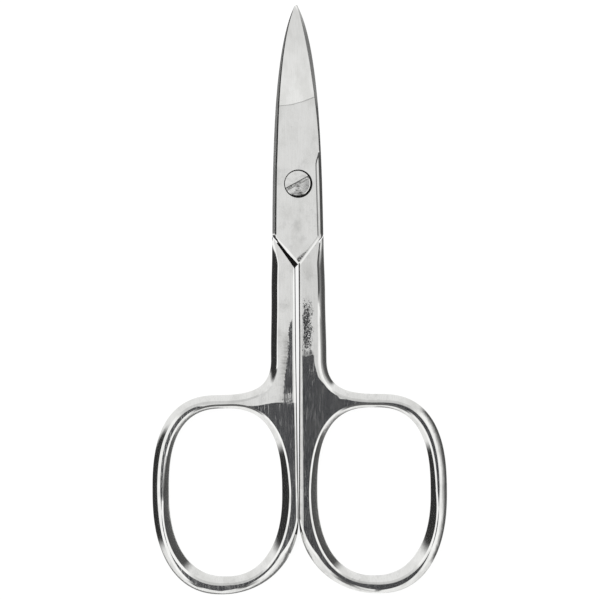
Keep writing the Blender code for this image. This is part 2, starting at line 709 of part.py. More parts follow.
def add_back_half():
    """The half underneath: tapped for the screw, with the shank and bow on the left."""
    steel = metal("back_half_steel", 0.72, 0.16)
    body = new_object("back_half", handle_mesh("back_half", BACK_WORK), steel)
    cut(body, new_object("back_edge_recess", edge_recess("back_edge_recess")))
    blade = blade_mesh("back_blade_guide", BACK_WORK["curl_way"])
    cut(body, new_object("back_blade_guide", blade), "UNION")
    cut(body, new_object("back_lap_recess", lap_recess("back_lap_recess")))
    bore = disc(
        "back_bore", SCREW_THREAD_DIAMETER + 2 * BORE_CLEARANCE, -OVERRUN, HALF_THICKNESS + OVERRUN
    )
    cut(body, new_object("back_bore", bore))
    body.location = (0, PIVOT_Y, HALF_THICKNESS)
    body.rotation_euler = (0, math.pi, 0)


def add_pivot_screw():
    """The slotted screw that clamps the halves and lets their tension be set."""
    screw = new_object("pivot_screw", screw_mesh("pivot_screw"), metal("screw_steel", 0.7, 0.22))
    cut(screw, new_object("screw_slot", slot_mesh("screw_slot")))
    screw.location = (0, PIVOT_Y, HALF_THICKNESS)


clear_scene()
add_back_half()
add_front_half()
add_pivot_screw()
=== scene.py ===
from math import cos, hypot, pi, radians, sin, sqrt, tan

import bmesh
import bpy
from mathutils import Matrix, Vector
from mathutils.geometry import interpolate_bezier, tessellate_polygon


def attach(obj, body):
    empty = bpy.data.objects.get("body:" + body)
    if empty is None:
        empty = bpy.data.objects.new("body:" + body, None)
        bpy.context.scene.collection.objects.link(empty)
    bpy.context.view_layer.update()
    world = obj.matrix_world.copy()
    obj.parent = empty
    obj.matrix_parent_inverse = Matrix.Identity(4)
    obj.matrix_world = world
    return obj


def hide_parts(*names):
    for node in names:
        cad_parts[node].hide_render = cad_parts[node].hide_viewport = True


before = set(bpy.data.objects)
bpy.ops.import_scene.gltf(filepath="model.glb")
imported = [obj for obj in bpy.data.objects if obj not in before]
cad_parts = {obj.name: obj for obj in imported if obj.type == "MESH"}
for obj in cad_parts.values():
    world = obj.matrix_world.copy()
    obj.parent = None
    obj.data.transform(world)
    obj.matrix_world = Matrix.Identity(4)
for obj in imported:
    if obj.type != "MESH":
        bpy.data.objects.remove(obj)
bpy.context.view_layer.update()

# The back half is one drop forging of carbon steel: the shank and finger bow on the left, and the blade
# that lies underneath. It is milled away at the lap joint, tapped for the screw, ground to a curled blade,
# then polished and plated bright. It is drawn as it lies in its own frame: pivot at the origin, blade up +Y.
MM = 0.001
BLADE_REACH = 27.2 * MM
HANDLE_REACH = 62.8 * MM
THICKNESS = 3.2 * MM
RICASSO_DROP = 0.14 * MM
BLADE_CLEARANCE = 0.06 * MM
OPENING_WIDTH = 17.3 * MM
OPENING_LENGTH = 25.75 * MM
INNER_LIMB = 2.72 * MM
OUTER_LIMB = 2.53 * MM
TOP_LIMB = 2.05 * MM
END_LIMB = 2.7 * MM
BOW_CREST_OFFSET = 0.6 * MM
SHOULDER_HALF_WIDTH = 3.93 * MM
WAIST_HALF_WIDTH = 4.12 * MM
FORK_HALF_WIDTH = 4.27 * MM
SHANK_TOP_BELOW = 8.1 * MM
WAIST_BELOW = 17.0 * MM
FORK_BELOW = 27.0 * MM
SLIT_WIDTH = 0.5 * MM
SLIT_OFFSET = 0.17 * MM
STOP_CLEARANCE = 0.04 * MM
SLIT_TAPER_BELOW = 25.0 * MM
STOP_START_BELOW = 50.0 * MM
STOP_END_BELOW = 51.2 * MM
SPINE_HALF_WIDTH = 3.9 * MM
RICASSO_EDGE_HALF_WIDTH = 3.18 * MM
RICASSO_NECK_HALF_WIDTH = 2.95 * MM
NECK_ABOVE = 2.7 * MM
LAP_CORNER_BELOW = 8.07 * MM
LAP_CORNER_RADIUS = 1.0 * MM
LAP_ANGLE = radians(47.9)
LAP_END_BELOW = 13.4 * MM
LAP_BEVEL_WIDTH = 0.5 * MM
LAP_BEVEL_DROP = 0.2 * MM
SHOULDER_CORNER_BELOW = 8.15 * MM
SHOULDER_ANGLE = radians(55.2)
STEP_TOP_BELOW = 8.05 * MM
STEP_FOOT_BELOW = 12.3 * MM
STEP_BEVEL_WIDTH = 0.3 * MM
EDGE_RECESS_BELOW = 9.1 * MM
EDGE_RECESS_ANGLE = radians(20)
SPINE_TIP_HALF_WIDTH = 0.13 * MM
EDGE_TIP_HALF_WIDTH = 0.02 * MM
HEEL_ABOVE = 5.0 * MM
HEEL_HALF_WIDTH = 3.4 * MM
TIP_ANGLE = radians(28)
BEND_ANGLE = radians(5)
CURL_RADIUS = 60.0 * MM
GRIND_START_ABOVE = 12.35 * MM
GRIND_SLANT = radians(15.5)
GRIND_SAG = 0.26 * MM
GRIND_LIFT = 0.3 * MM
GRIND_LIFT_POWER = 3
GRIND_LINE_WIDTH = 0.3 * MM
SPINE_TIP_THICKNESS = 0.7 * MM
EDGE_TIP_THICKNESS = 0.62 * MM
SPINE_CHAMFER = 0.62 * MM
SPINE_CHAMFER_DROP = 0.56 * MM
SPINE_FACET = 0.22 * MM
SPINE_FACET_DROP = 0.17 * MM
SPINE_BREAK_WIDTH = 0.5 * MM
SPINE_BREAK_ANGLE = radians(40.5)
GRIND_BREAK_ANGLE = radians(39.2)
TIP_BREAK_ANGLE = radians(40.3)
SPINE_BREAK_POWER = 0.35
LAP_BREAK_LOSS = 0.7
RICASSO_BREAK_SHARE = 0.88
RICASSO_EDGE_BREAK = 0.19 * MM
RICASSO_EDGE_DROP = 0.151 * MM
RECESS_BREAK_ANGLE = radians(38.6)
CUTTING_BEVEL_WIDTH = 0.07 * MM
CUTTING_LAND = 0.25 * MM
HOLLOW_DEPTH = 0.06 * MM
BLADE_RELIEF = 0.02 * MM
BEVEL_DROP = 0.17 * MM
SHANK_LEAN = 0.92 * MM
SHOULDER_LEAN = 0.1 * MM
LEAN_RAMP_END_BELOW = 12.4 * MM
SLIT_LEAN, SLIT_BEVEL = 0.12 * MM, 0.26 * MM
SIDE_ANGLES = (radians(43), radians(37))
OPENING_ANGLES = (radians(41.5), radians(39))
BOW_TOP_SHARES = (0.45, 0.19)
BOW_END_SHARES = (0.13, 0.07)
OPENING_TOP_SHARES = (0.16, 0.15)
OPENING_END_SHARES = (0.36, 0.13)
THREAD_BORE_DIAMETER = 2.0 * MM
OVERRUN = 0.5 * MM
JOIN_OVERLAP = 0.02 * MM
BOW_TOP_POWER = 2.6
BOW_SIDE_POWER = 2.33
BOW_END_POWER = 2.05
OPENING_TOP_POWER = 2.65
OPENING_END_POWER = 2.3
FORK_PULL_SHARES = (0.65, 0.79)
SHANK_PULL_SHARE = 0.4
SPINE_PULL_SHARES = (0.35, 0.2)
SPINE_LEAN = 0.01
EDGE_PULL_SHARES = (0.35, 0.1)
EDGE_LEAN = 0.02
CORNER_BREAK_SHARE = 0.04
TAPER_POWER = 1.6
OUTER_FACE_SHARES = (0, 1 / 3, 2 / 3, 1)
INNER_FACE_SHARES = (0.75, 0.5, 0.25)
QUARTER_STEPS = 36
FORK_STEPS = 28
SIDE_STEPS = 5
CORNER_STEPS = 8
BLADE_ROWS_BELOW_GRIND = 8
BLADE_ROWS_ABOVE_GRIND = 30
TURN_STEPS = 96
STOP_BLEND_STEPS = 12
MITRE_LIMIT = 0.3
CORNER_SWELL = 0.35
HALVINGS = 40
SHARP_ANGLE = radians(6)
SLIVER = 0.0005 * MM
HALF_THICKNESS = THICKNESS / 2
PIVOT_Y = (HANDLE_REACH - BLADE_REACH) / 2
RICASSO_FACE = HALF_THICKNESS - RICASSO_DROP
CONTACT_FACE = BLADE_CLEARANCE / 2
SIDE_TOP = HALF_THICKNESS - BEVEL_DROP
OPENING_X = INNER_LIMB + OPENING_WIDTH / 2
BOW_SIDE_X = INNER_LIMB + OPENING_WIDTH + OUTER_LIMB
OPENING_Y = -HANDLE_REACH + END_LIMB + OPENING_LENGTH / 2
BOW_CREST_X = OPENING_X + BOW_CREST_OFFSET
BOW_TOP_Y = OPENING_Y + OPENING_LENGTH / 2 + TOP_LIMB
BACK_WORK = {
    "offset": SLIT_OFFSET,
    "curl_way": -1,
    "ramp_start": 9.2 * MM,
    "shank_bevel": 0.14 * MM,
    "fork_bevel": 0.14 * MM,
    "bow_side": (0.3, 0.18),
    "bow_flatter": 0,
    "opening_side": (0.3, 0.09),
    "opening_inner": (0.42, 0.1),
}


def between(low, high, share):
    return low + (high - low) * share


def new_piece(name, mesh):
    made = bpy.data.objects.new(name, mesh)
    bpy.context.scene.collection.objects.link(made)
    return made


def mesh_of(name, shell):
    bmesh.ops.recalc_face_normals(shell, faces=shell.faces)
    mesh = bpy.data.meshes.new(name)
    shell.to_mesh(mesh)
    shell.free()
    return mesh


def cut(piece, cutter, operation="DIFFERENCE"):
    """Cuts or joins cutter, both in the same frame, and keeps only the result's mesh on piece."""
    step = piece.modifiers.new(cutter.name, "BOOLEAN")
    step.operation = operation
    step.object = cutter
    bpy.context.view_layer.update()
    graph = bpy.context.evaluated_depsgraph_get()
    mesh = bpy.data.meshes.new_from_object(piece.evaluated_get(graph))
    piece.modifiers.clear()
    piece.data = mesh
    bpy.data.objects.remove(cutter)


def easy_curve(start, start_pull, end_pull, end, steps):
    knots = [Vector((p[0], p[1], 0)) for p in (start, start_pull, end_pull, end)]
    return [Vector((p.x, p.y)) for p in interpolate_bezier(*knots, steps + 1)]


def bow_quarter(centre, across, along, power, first_angle):
    """A quarter of a bow's outline: a rounded box, fuller at its corner than an ellipse."""
    points = []
    for step in range(QUARTER_STEPS + 1):
        angle = first_angle + pi / 2 * step / QUARTER_STEPS
        turn = Vector((cos(angle), sin(angle)))
        reach = (abs(turn.x / across) ** power + abs(turn.y / along) ** power) ** (-1 / power)
        points.append(Vector(centre) + turn * reach)
    return points


def step_line(x):
    """Height of the foot of the step between the ricasso's face and the shank's face."""
    rise = (STEP_FOOT_BELOW - STEP_TOP_BELOW) / RICASSO_EDGE_HALF_WIDTH
    return -STEP_FOOT_BELOW + rise * x


def slit_side(offset):
    top_x = SLIT_WIDTH / 2 + offset
    stop_x = STOP_CLEARANCE / 2 + offset
    return [
        Vector((top_x, step_line(top_x))),
        Vector((top_x, -between(STEP_FOOT_BELOW, SLIT_TAPER_BELOW, 0.5))),
        Vector((top_x, -SLIT_TAPER_BELOW)),
        Vector((between(top_x, stop_x, 0.5), -between(SLIT_TAPER_BELOW, STOP_START_BELOW, 0.5))),
        Vector((stop_x, -STOP_START_BELOW)),
    ]


def sloped(points, first, last, swell=0.0):
    """(point, lean, bevel, flatter) for each point, as the side goes from one slope to another. The slopes
    swell by a share halfway, where a bow's corner is thicker."""
    made = []
    for step, point in enumerate(points):
        share = step / (len(points) - 1)
        lean, bevel, flatter = first.lerp(last, share) * (1 + swell * sin(pi * share))
        made.append((point, lean, bevel, flatter))
    return made


def handle_outline(work):
    """Outline of the shank and bow, anticlockwise, as (point, lean, bevel, flatter) for each corner."""
    offset = work["offset"]
    slit_slope = Vector((SLIT_LEAN, SLIT_BEVEL, 0))
    fork_slope = Vector((SHANK_LEAN, work["fork_bevel"], 0))
    end_slope = Vector((*BOW_END_SHARES, 0)) * END_LIMB
    side_slope = Vector((*work["bow_side"], 0)) * OUTER_LIMB
    top_slope = Vector((*BOW_TOP_SHARES, 0)) * TOP_LIMB
    side_slope.z = top_slope.z = end_slope.z = work["bow_flatter"]
    stop_slope = Vector((*work["bow_side"], 0)) * END_LIMB
    outline = sloped(slit_side(offset), slit_slope, slit_slope)

    across = BOW_CREST_X - STOP_CLEARANCE / 2 - offset
    end = bow_quarter(
        (BOW_CREST_X, -STOP_END_BELOW), across, HANDLE_REACH - STOP_END_BELOW, BOW_END_POWER, pi
    )
    outline += sloped(end[: STOP_BLEND_STEPS + 1], slit_slope, stop_slope)
    outline += sloped(end[STOP_BLEND_STEPS:], stop_slope, end_slope)[1:]

    across = BOW_SIDE_X - BOW_CREST_X
    middle = (BOW_CREST_X, OPENING_Y)
    side = bow_quarter(middle, across, HANDLE_REACH + OPENING_Y, BOW_SIDE_POWER, 1.5 * pi)
    top = bow_quarter(middle, across, BOW_TOP_Y - OPENING_Y, BOW_TOP_POWER, 0)
    outline += sloped(side, end_slope, side_slope, CORNER_SWELL)[1:] + sloped(top, side_slope, top_slope)[1:]

    crest = Vector((BOW_CREST_X, BOW_TOP_Y))
    fork = Vector((FORK_HALF_WIDTH, -FORK_BELOW))
    pull_x = (crest.x - fork.x) * FORK_PULL_SHARES[0]
    pull_y = (fork.y - crest.y) * FORK_PULL_SHARES[1]
    run = easy_curve(crest, crest - Vector((pull_x, 0)), fork - Vector((0, pull_y)), fork, FORK_STEPS)
    outline += sloped(run, top_slope, fork_slope)[1:]

    waist = Vector((WAIST_HALF_WIDTH, -WAIST_BELOW))
    shoulder = Vector((SHOULDER_HALF_WIDTH, -SHANK_TOP_BELOW))
    lower_pull = Vector((0, (waist.y - fork.y) * SHANK_PULL_SHARE))
    upper_pull = Vector((0, (shoulder.y - waist.y) * SHANK_PULL_SHARE))
    lower = easy_curve(fork, fork + lower_pull, waist - lower_pull, waist, CORNER_STEPS)
    upper = easy_curve(waist, waist + upper_pull, shoulder - upper_pull, shoulder, 2 * CORNER_STEPS)
    ramp = LEAN_RAMP_END_BELOW - work["ramp_start"]
    for point in lower[1:] + upper[1:]:
        share = min(1, max(0, (-point.y - work["ramp_start"]) / ramp))
        fork_share = max(0, (waist.y - point.y) / (waist.y - fork.y))
        bevel = between(work["shank_bevel"], work["fork_bevel"], fork_share)
        outline.append((point, between(SHOULDER_LEAN, SHANK_LEAN, share), bevel, 0))

    step_top = Vector((RICASSO_EDGE_HALF_WIDTH, step_line(RICASSO_EDGE_HALF_WIDTH)))
    outline.append((step_top, SHOULDER_LEAN, STEP_BEVEL_WIDTH, 0))
    return outline


def opening_outline(work):
    """Outline of the finger opening, clockwise, so that its inward side is the metal."""
    middle = (OPENING_X, OPENING_Y)
    slopes = [
        Vector((*work["opening_side"], 0)) * OUTER_LIMB,
        Vector((*OPENING_TOP_SHARES, 0)) * TOP_LIMB,
        Vector((*work["opening_inner"], 0)) * INNER_LIMB,
        Vector((*OPENING_END_SHARES, 0)) * END_LIMB,
    ]
    outline = []
    for turn, slope in enumerate(slopes):
        power = OPENING_TOP_POWER if turn < 2 else OPENING_END_POWER
        quarter = bow_quarter(middle, OPENING_WIDTH / 2, OPENING_LENGTH / 2, power, turn * pi / 2)
        swell = CORNER_SWELL if turn == len(slopes) - 1 else 0
        outline += sloped(quarter, slope, slopes[(turn + 1) % len(slopes)], swell)[:-1]
    return outline[::-1]


def moved_in(outline, index, depths):
    """The outline's corner moved in, so that the edges before and after it move by their own depths."""
    point = outline[index][0]
    before = (point - outline[index - 1][0]).normalized()
    after = (outline[(index + 1) % len(outline)][0] - point).normalized()
    normals = [Vector((-before.y, before.x)), Vector((-after.y, after.x))]
    turn = before.cross(after)
    if abs(turn) < MITRE_LIMIT:
        return point + (normals[0] + normals[1]).normalized() * sum(depths) / 2
    return point + (after * depths[0] - before * depths[1]) / turn


def side_profile(lean, bevel, angles):
    """(distance in, height) up one side: the flank's top, its broken corner, the leaning side, the bevel."""
    foot_angle, head_angle = angles
    radius = lean / (sin(foot_angle) - sin(head_angle))
    rise = radius * (cos(head_angle) - cos(foot_angle))
    foot = SIDE_TOP - rise
    broken = lean * CORNER_BREAK_SHARE
    profile = [(0, foot - broken), (broken, foot + rise * CORNER_BREAK_SHARE)]
    for step in range(1, SIDE_STEPS + 1):
        angle = between(foot_angle, head_angle, step / SIDE_STEPS)
        inset = radius * (sin(foot_angle) - sin(angle))
        profile.append((inset, foot + radius * (cos(angle) - cos(foot_angle))))
    return profile + [(lean + bevel, HALF_THICKNESS)]


def rings_of(outline, angles):
    """Rings of 3-D points from the bottom land to the top land."""
    profiles = [
        side_profile(lean, bevel, [angle - flatter for angle in angles])
        for _, lean, bevel, flatter in outline
    ]
    rings = []
    for level in range(len(profiles[0])):
        ring = []
        for index, profile in enumerate(profiles):
            flat = moved_in(outline, index, (profiles[index - 1][level][0], profile[level][0]))
            ring.append(Vector((flat.x, flat.y, profile[level][1])))
        rings.append(ring)
    below = [[Vector((p.x, p.y, -p.z)) for p in ring] for ring in reversed(rings)]
    return below + rings


def add_strips(shell, rings):
    rows = [[shell.verts.new(p) for p in ring] for ring in rings]
    for low, high in zip(rows, rows[1:]):
        for index in range(len(low)):
            after = (index + 1) % len(low)
            shell.faces.new((low[index], low[after], high[after], high[index]))
    return rows[0], rows[-1]


def closed_off(name, loops):
    """A closed mesh through loops of points, with a face over the first and over the last."""
    shell = bmesh.new()
    for end in add_strips(shell, loops):
        shell.faces.new(end)
    return mesh_of(name, shell)


def handle_mesh(work):
    """The shank and bow: a leaning side round the outline and round the opening, with flat lands."""
    shell = bmesh.new()
    ends = [
        add_strips(shell, rings_of(handle_outline(work), SIDE_ANGLES)),
        add_strips(shell, rings_of(opening_outline(work), OPENING_ANGLES)),
    ]
    for land in (0, 1):
        loops = [end[land] for end in ends]
        corners = loops[0] + loops[1]
        for triangle in tessellate_polygon([[v.co for v in loop] for loop in loops]):
            shell.faces.new([corners[index] for index in triangle])
    return mesh_of("handle", shell)


def cubic(t, values):
    a, b, c, d = values
    s = 1 - t
    return a * s**3 + 3 * b * s * s * t + 3 * c * s * t * t + d * t**3


def curve_at(y, start_y, start_x, tip_x, pull_shares, lean):
    """Reads x at y from the cubic that leaves the start almost along Y and meets the tip at the tip angle."""
    length = BLADE_REACH - start_y
    start_pull, tip_pull = (share * length for share in pull_shares)
    knots = (
        (start_x, start_y),
        (start_x - lean * start_pull, start_y + start_pull),
        (tip_x + tip_pull * sin(TIP_ANGLE), BLADE_REACH - tip_pull * cos(TIP_ANGLE)),
        (tip_x, BLADE_REACH),
    )
    low, high = 0.0, 1.0
    for _ in range(HALVINGS):
        middle = (low + high) / 2
        if cubic(middle, [k[1] for k in knots]) < y:
            low = middle
        else:
            high = middle
    return cubic(low, [k[0] for k in knots])


def spine_x(y):
    tip_x = SPINE_TIP_HALF_WIDTH
    return curve_at(y, -LAP_CORNER_BELOW, SPINE_HALF_WIDTH, tip_x, SPINE_PULL_SHARES, SPINE_LEAN)


def edge_x(y):
    """Distance from the middle to the cutting edge or, below the heel, to the ricasso's edge."""
    if y >= HEEL_ABOVE:
        return curve_at(y, HEEL_ABOVE, HEEL_HALF_WIDTH, EDGE_TIP_HALF_WIDTH, EDGE_PULL_SHARES, EDGE_LEAN)
    if y >= NECK_ABOVE:
        turn = pi * (y - NECK_ABOVE) / (HEEL_ABOVE - NECK_ABOVE)
        return between(RICASSO_NECK_HALF_WIDTH, HEEL_HALF_WIDTH, (1 - cos(turn)) / 2)
    if y >= -STEP_TOP_BELOW:
        share = (NECK_ABOVE - y) / (NECK_ABOVE + STEP_TOP_BELOW)
        return between(RICASSO_NECK_HALF_WIDTH, RICASSO_EDGE_HALF_WIDTH, share)
    share = (-STEP_TOP_BELOW - y) / (LAP_END_BELOW - STEP_TOP_BELOW)
    return between(RICASSO_EDGE_HALF_WIDTH, RICASSO_EDGE_HALF_WIDTH / 2, share)


def curl(past):
    """Rise of a face at a distance past the bend, where the blade leaves the ricasso's plane."""
    if past <= 0:
        return 0
    past = min(past, CURL_RADIUS)
    return past * tan(BEND_ANGLE) + CURL_RADIUS - sqrt(CURL_RADIUS**2 - past**2)


def lap_corner(corner_below, angle):
    """Heights where the rounded corner starts and ends, and the slope of the line after it."""
    turn = pi / 2 - angle
    start = -corner_below + LAP_CORNER_RADIUS * tan(turn / 2)
    return start, start - LAP_CORNER_RADIUS * sin(turn), tan(angle)


def lap_x(y):
    """Left side of the ricasso and blade: the spine, the rounded corner and the slanting lap edge."""
    arc_start, arc_end, slope = lap_corner(LAP_CORNER_BELOW, LAP_ANGLE)
    if y >= arc_start:
        return -spine_x(y)
    if y >= arc_end:
        rise = arc_start - y
        return -SPINE_HALF_WIDTH + LAP_CORNER_RADIUS - sqrt(LAP_CORNER_RADIUS**2 - rise**2)
    return -SPINE_HALF_WIDTH + (-LAP_CORNER_BELOW - y) / slope


def blade_rows():
    """(height of the row's middle, slant) from the lap's end up to the tip."""
    arc_start, arc_end, _ = lap_corner(LAP_CORNER_BELOW, LAP_ANGLE)
    rows = [-LAP_END_BELOW, -between(STEP_FOOT_BELOW, -arc_end, 0.5)]
    rows += [between(arc_end, arc_start, step / CORNER_STEPS) for step in range(CORNER_STEPS + 1)]
    rows += [-STEP_TOP_BELOW, arc_start / 2, 0, NECK_ABOVE]
    rows += [between(NECK_ABOVE, HEEL_ABOVE, step / CORNER_STEPS) for step in range(1, CORNER_STEPS + 1)]
    made = [(y, 0) for y in sorted(rows)]
    for step in range(1, BLADE_ROWS_BELOW_GRIND + 1):
        share = step / BLADE_ROWS_BELOW_GRIND
        made.append((between(HEEL_ABOVE, GRIND_START_ABOVE - GRIND_LINE_WIDTH / 2, share), share))
    made.append((GRIND_START_ABOVE, 1))
    for step in range(BLADE_ROWS_ABOVE_GRIND + 1):
        share = step / BLADE_ROWS_ABOVE_GRIND
        start = GRIND_START_ABOVE + GRIND_LINE_WIDTH / 2
        made.append((between(start, BLADE_REACH, sin(share * pi / 2)), 1 - share))
    return made


def blade_section(y, slant, curl_way):
    """One row across the ricasso or blade, as a loop from the spine's foot over the outer face and back."""
    half_run = (spine_x(max(y, 0)) + edge_x(max(y, 0))) / 2 * tan(GRIND_SLANT) * slant
    left_y = y - half_run
    right_y = min(y + half_run, BLADE_REACH)
    left, right = lap_x(left_y), edge_x(right_y)
    width = right - left
    full_width = SPINE_HALF_WIDTH + RICASSO_NECK_HALF_WIDTH
    scale = min(1, width / full_width)

    ground = max(0, (y - GRIND_START_ABOVE) / (BLADE_REACH - GRIND_START_ABOVE))
    full = RICASSO_FACE - CONTACT_FACE
    spine_thickness = between(full, SPINE_TIP_THICKNESS, ground**TAPER_POWER)
    edge_thickness = between(full, EDGE_TIP_THICKNESS, ground**TAPER_POWER)

    in_blade = y >= HEEL_ABOVE
    arc_start, arc_end, _ = lap_corner(LAP_CORNER_BELOW, LAP_ANGLE)
    lap_share = min(1, max(0, (arc_start - left_y) / (arc_start - arc_end)))
    relief = BLADE_RELIEF if in_blade else -OVERRUN
    hollow = HOLLOW_DEPTH * scale if in_blade else 0
    chamfer = between(SPINE_CHAMFER * scale, LAP_BEVEL_WIDTH, lap_share)
    chamfer_drop = between(SPINE_CHAMFER_DROP * scale, LAP_BEVEL_DROP, lap_share)
    facet = between(SPINE_FACET * scale, LAP_BEVEL_WIDTH / 2, lap_share)
    facet_drop = between(SPINE_FACET_DROP * scale, LAP_BEVEL_DROP / 2, lap_share)
    toward_grind = min(1, max(0, (y - HEEL_ABOVE) / (GRIND_START_ABOVE - HEEL_ABOVE)))
    break_size = between(RICASSO_BREAK_SHARE, 1, toward_grind) * scale**SPINE_BREAK_POWER
    break_width = SPINE_BREAK_WIDTH * break_size * (1 - LAP_BREAK_LOSS * lap_share)
    break_angle = between(SPINE_BREAK_ANGLE, GRIND_BREAK_ANGLE, toward_grind)
    break_angle = between(break_angle, TIP_BREAK_ANGLE, ground)
    break_height = max(0, relief) + break_width * tan(break_angle)
    bevel, land = 0, full
    if in_blade:
        bevel, land = CUTTING_BEVEL_WIDTH * scale, CUTTING_LAND * scale
    elif y > -STEP_TOP_BELOW:
        bevel, land = RICASSO_EDGE_BREAK, full - RICASSO_EDGE_DROP

    def place(x, height, face):
        across = (x - left) / width
        row_y = between(left_y, right_y, across) - GRIND_SAG * slant * sin(pi * across)
        row_y += GRIND_LIFT * slant * (1 - across) ** GRIND_LIFT_POWER
        if face == "inner":
            rise = curl_way * curl(hypot(x, row_y) - GRIND_START_ABOVE)
            return Vector((x, row_y, CONTACT_FACE + rise + height))
        rise = curl_way * curl(y - GRIND_START_ABOVE)
        top = between(spine_thickness, edge_thickness, across)
        return Vector((x, row_y, CONTACT_FACE + rise + top - height))

    foot_in = break_width * (1 + max(0, -relief) / break_height)
    points = [
        place(left + foot_in, relief, "inner"),
        place(left, break_height, "inner"),
        place(left, chamfer_drop, "outer"),
        place(left + chamfer - facet, facet_drop, "outer"),
    ]
    first, last = left + chamfer, right - bevel
    points += [place(between(first, last, share), 0, "outer") for share in OUTER_FACE_SHARES]
    points.append(place(right, land, "inner"))
    points.append(place(right, relief, "inner"))
    for share in INNER_FACE_SHARES:
        sunk = hollow * sin(pi * share)
        points.append(place(between(left + foot_in, right, share), relief + sunk, "inner"))
    return points


def blade_mesh(curl_way):
    return closed_off("blade", [blade_section(y, slant, curl_way) for y, slant in blade_rows()])


def milled(outline, low, high):
    """What a cutter takes away over an outline, between two heights."""
    loops = [[(p[0], p[1], z) for p in outline] for z in (low, high)]
    return new_piece("cutter", closed_off("cutter", loops))


def lap_recess():
    """What is milled away under the ricasso, up to the shoulder that the other half's ricasso sits beside."""
    arc_start, arc_end, slope = lap_corner(SHOULDER_CORNER_BELOW, SHOULDER_ANGLE)
    outline = []
    for step in range(CORNER_STEPS + 1):
        y = between(arc_start, arc_end, step / CORNER_STEPS)
        rise = arc_start - y
        x = SHOULDER_HALF_WIDTH - LAP_CORNER_RADIUS + sqrt(LAP_CORNER_RADIUS**2 - rise**2)
        outline.append((x, y))
    far = -SPINE_HALF_WIDTH - OVERRUN
    reach = SHOULDER_HALF_WIDTH + OVERRUN
    foot = (-SLIT_WIDTH, -SHOULDER_CORNER_BELOW - (SHOULDER_HALF_WIDTH + SLIT_WIDTH) * slope)
    outline += [foot, (far, foot[1]), (far, HEEL_ABOVE + OVERRUN)]
    outline += [(reach, HEEL_ABOVE + OVERRUN), (reach, arc_start)]
    return milled(outline, -HALF_THICKNESS - OVERRUN, CONTACT_FACE)


def edge_recess():
    """What is milled away beside the ricasso's straight edge, to a short slope across the shank's face."""
    near = RICASSO_EDGE_HALF_WIDTH + JOIN_OVERLAP
    far = SHOULDER_HALF_WIDTH + OVERRUN
    drop = (far - near) * tan(EDGE_RECESS_ANGLE)
    outline = [(near, -EDGE_RECESS_BELOW), (far, -EDGE_RECESS_BELOW - drop), (far, 0), (near, 0)]
    return milled(outline, CONTACT_FACE, HALF_THICKNESS + OVERRUN)


def edge_recess_break():
    """The corner ground off the outer edge of that recess's floor."""
    inner = SHOULDER_HALF_WIDTH - SPINE_BREAK_WIDTH / 2
    outer = SHOULDER_HALF_WIDTH + OVERRUN
    fall = (outer - inner) * tan(RECESS_BREAK_ANGLE)
    drop = (outer - RICASSO_EDGE_HALF_WIDTH) * tan(EDGE_RECESS_ANGLE)
    floor = [(inner, CONTACT_FACE), (outer, CONTACT_FACE - fall)]
    profile = floor + [(outer, HALF_THICKNESS), (inner, HALF_THICKNESS)]
    loops = [[(x, y, z) for x, z in profile] for y in (-EDGE_RECESS_BELOW - drop / 2, 0)]
    return new_piece("cutter", closed_off("cutter", loops))


def bored(diameter, low, high, drift=(0, 0)):
    outline = []
    for step in range(TURN_STEPS):
        angle = 2 * pi * step / TURN_STEPS
        outline.append((drift[0] + diameter / 2 * cos(angle), drift[1] + diameter / 2 * sin(angle)))
    return milled(outline, low, high)


def forged_half(name, work):
    """A half with its blade joined on and its lap milled, still in its own frame."""
    half = new_piece(name, handle_mesh(work))
    cut(half, edge_recess())
    cut(half, edge_recess_break())
    cut(half, new_piece("blade", blade_mesh(work["curl_way"])), "UNION")
    cut(half, lap_recess())
    return half


def seat_in_pair(piece, turned):
    """Moves the mesh from the half's own frame to where it lies in the pair."""
    place = Matrix.Translation((0, PIVOT_Y, HALF_THICKNESS))
    if turned:
        place = place @ Matrix.Rotation(pi, 4, "Y")
    piece.data.transform(place)
    shell = bmesh.new()
    shell.from_mesh(piece.data)
    bmesh.ops.dissolve_degenerate(shell, edges=shell.edges, dist=SLIVER)
    bmesh.ops.triangulate(shell, faces=[face for face in shell.faces if len(face.verts) > 4])
    shell.to_mesh(piece.data)
    shell.free()
    piece.data.shade_smooth()
    piece.data.set_sharp_from_angle(angle=SHARP_ANGLE)


def wire_in(kind, inputs=(), tree=None, **settings):
    """Adds a shader node, with each input a socket to link or a value to hold. Where no tree is given, it
    goes into the one that its sockets are in."""
    inputs = dict(inputs)
    linked = {key: value for key, value in inputs.items() if isinstance(value, bpy.types.NodeSocket)}
    tree = tree or next(iter(linked.values())).id_data
    made = tree.nodes.new("ShaderNode" + kind)
    for name, value in settings.items():
        setattr(made, name, value)
    for key, value in inputs.items():
        if key in linked:
            tree.links.new(value, made.inputs[key])
        else:
            made.inputs[key].default_value = value
    return made


def worked(operation, first, *others):
    """Works the values together one after another, or works one alone. A product stays between 0 and 1."""
    for value in others or (0.0,):
        made = wire_in("Math", {0: first, 1: value}, operation=operation)
        made.use_clamp = operation == "MULTIPLY"
        first = made.outputs[0]
    return first


def times(*values):
    return worked("MULTIPLY", *values)


def summed(*values):
    return worked("ADD", *values)


def highest(*values):
    return worked("MAXIMUM", *values)


def less(value, taken):
    return worked("SUBTRACT", value, taken)


def vectors(operation, first, second=(0, 0, 0)):
    """Works vectors together. Only a length, distance or dot product comes out as a number."""
    made = wire_in("VectorMath", {0: first, 1: second}, operation=operation).outputs
    return made["Value" if operation in ("LENGTH", "DISTANCE", "DOT_PRODUCT") else "Vector"]


def split(vector):
    return wire_in("SeparateXYZ", {0: vector}).outputs


def flattened(across, along=0.0):
    """A place with its height left out."""
    return wire_in("CombineXYZ", {0: across, 1: along}).outputs[0]


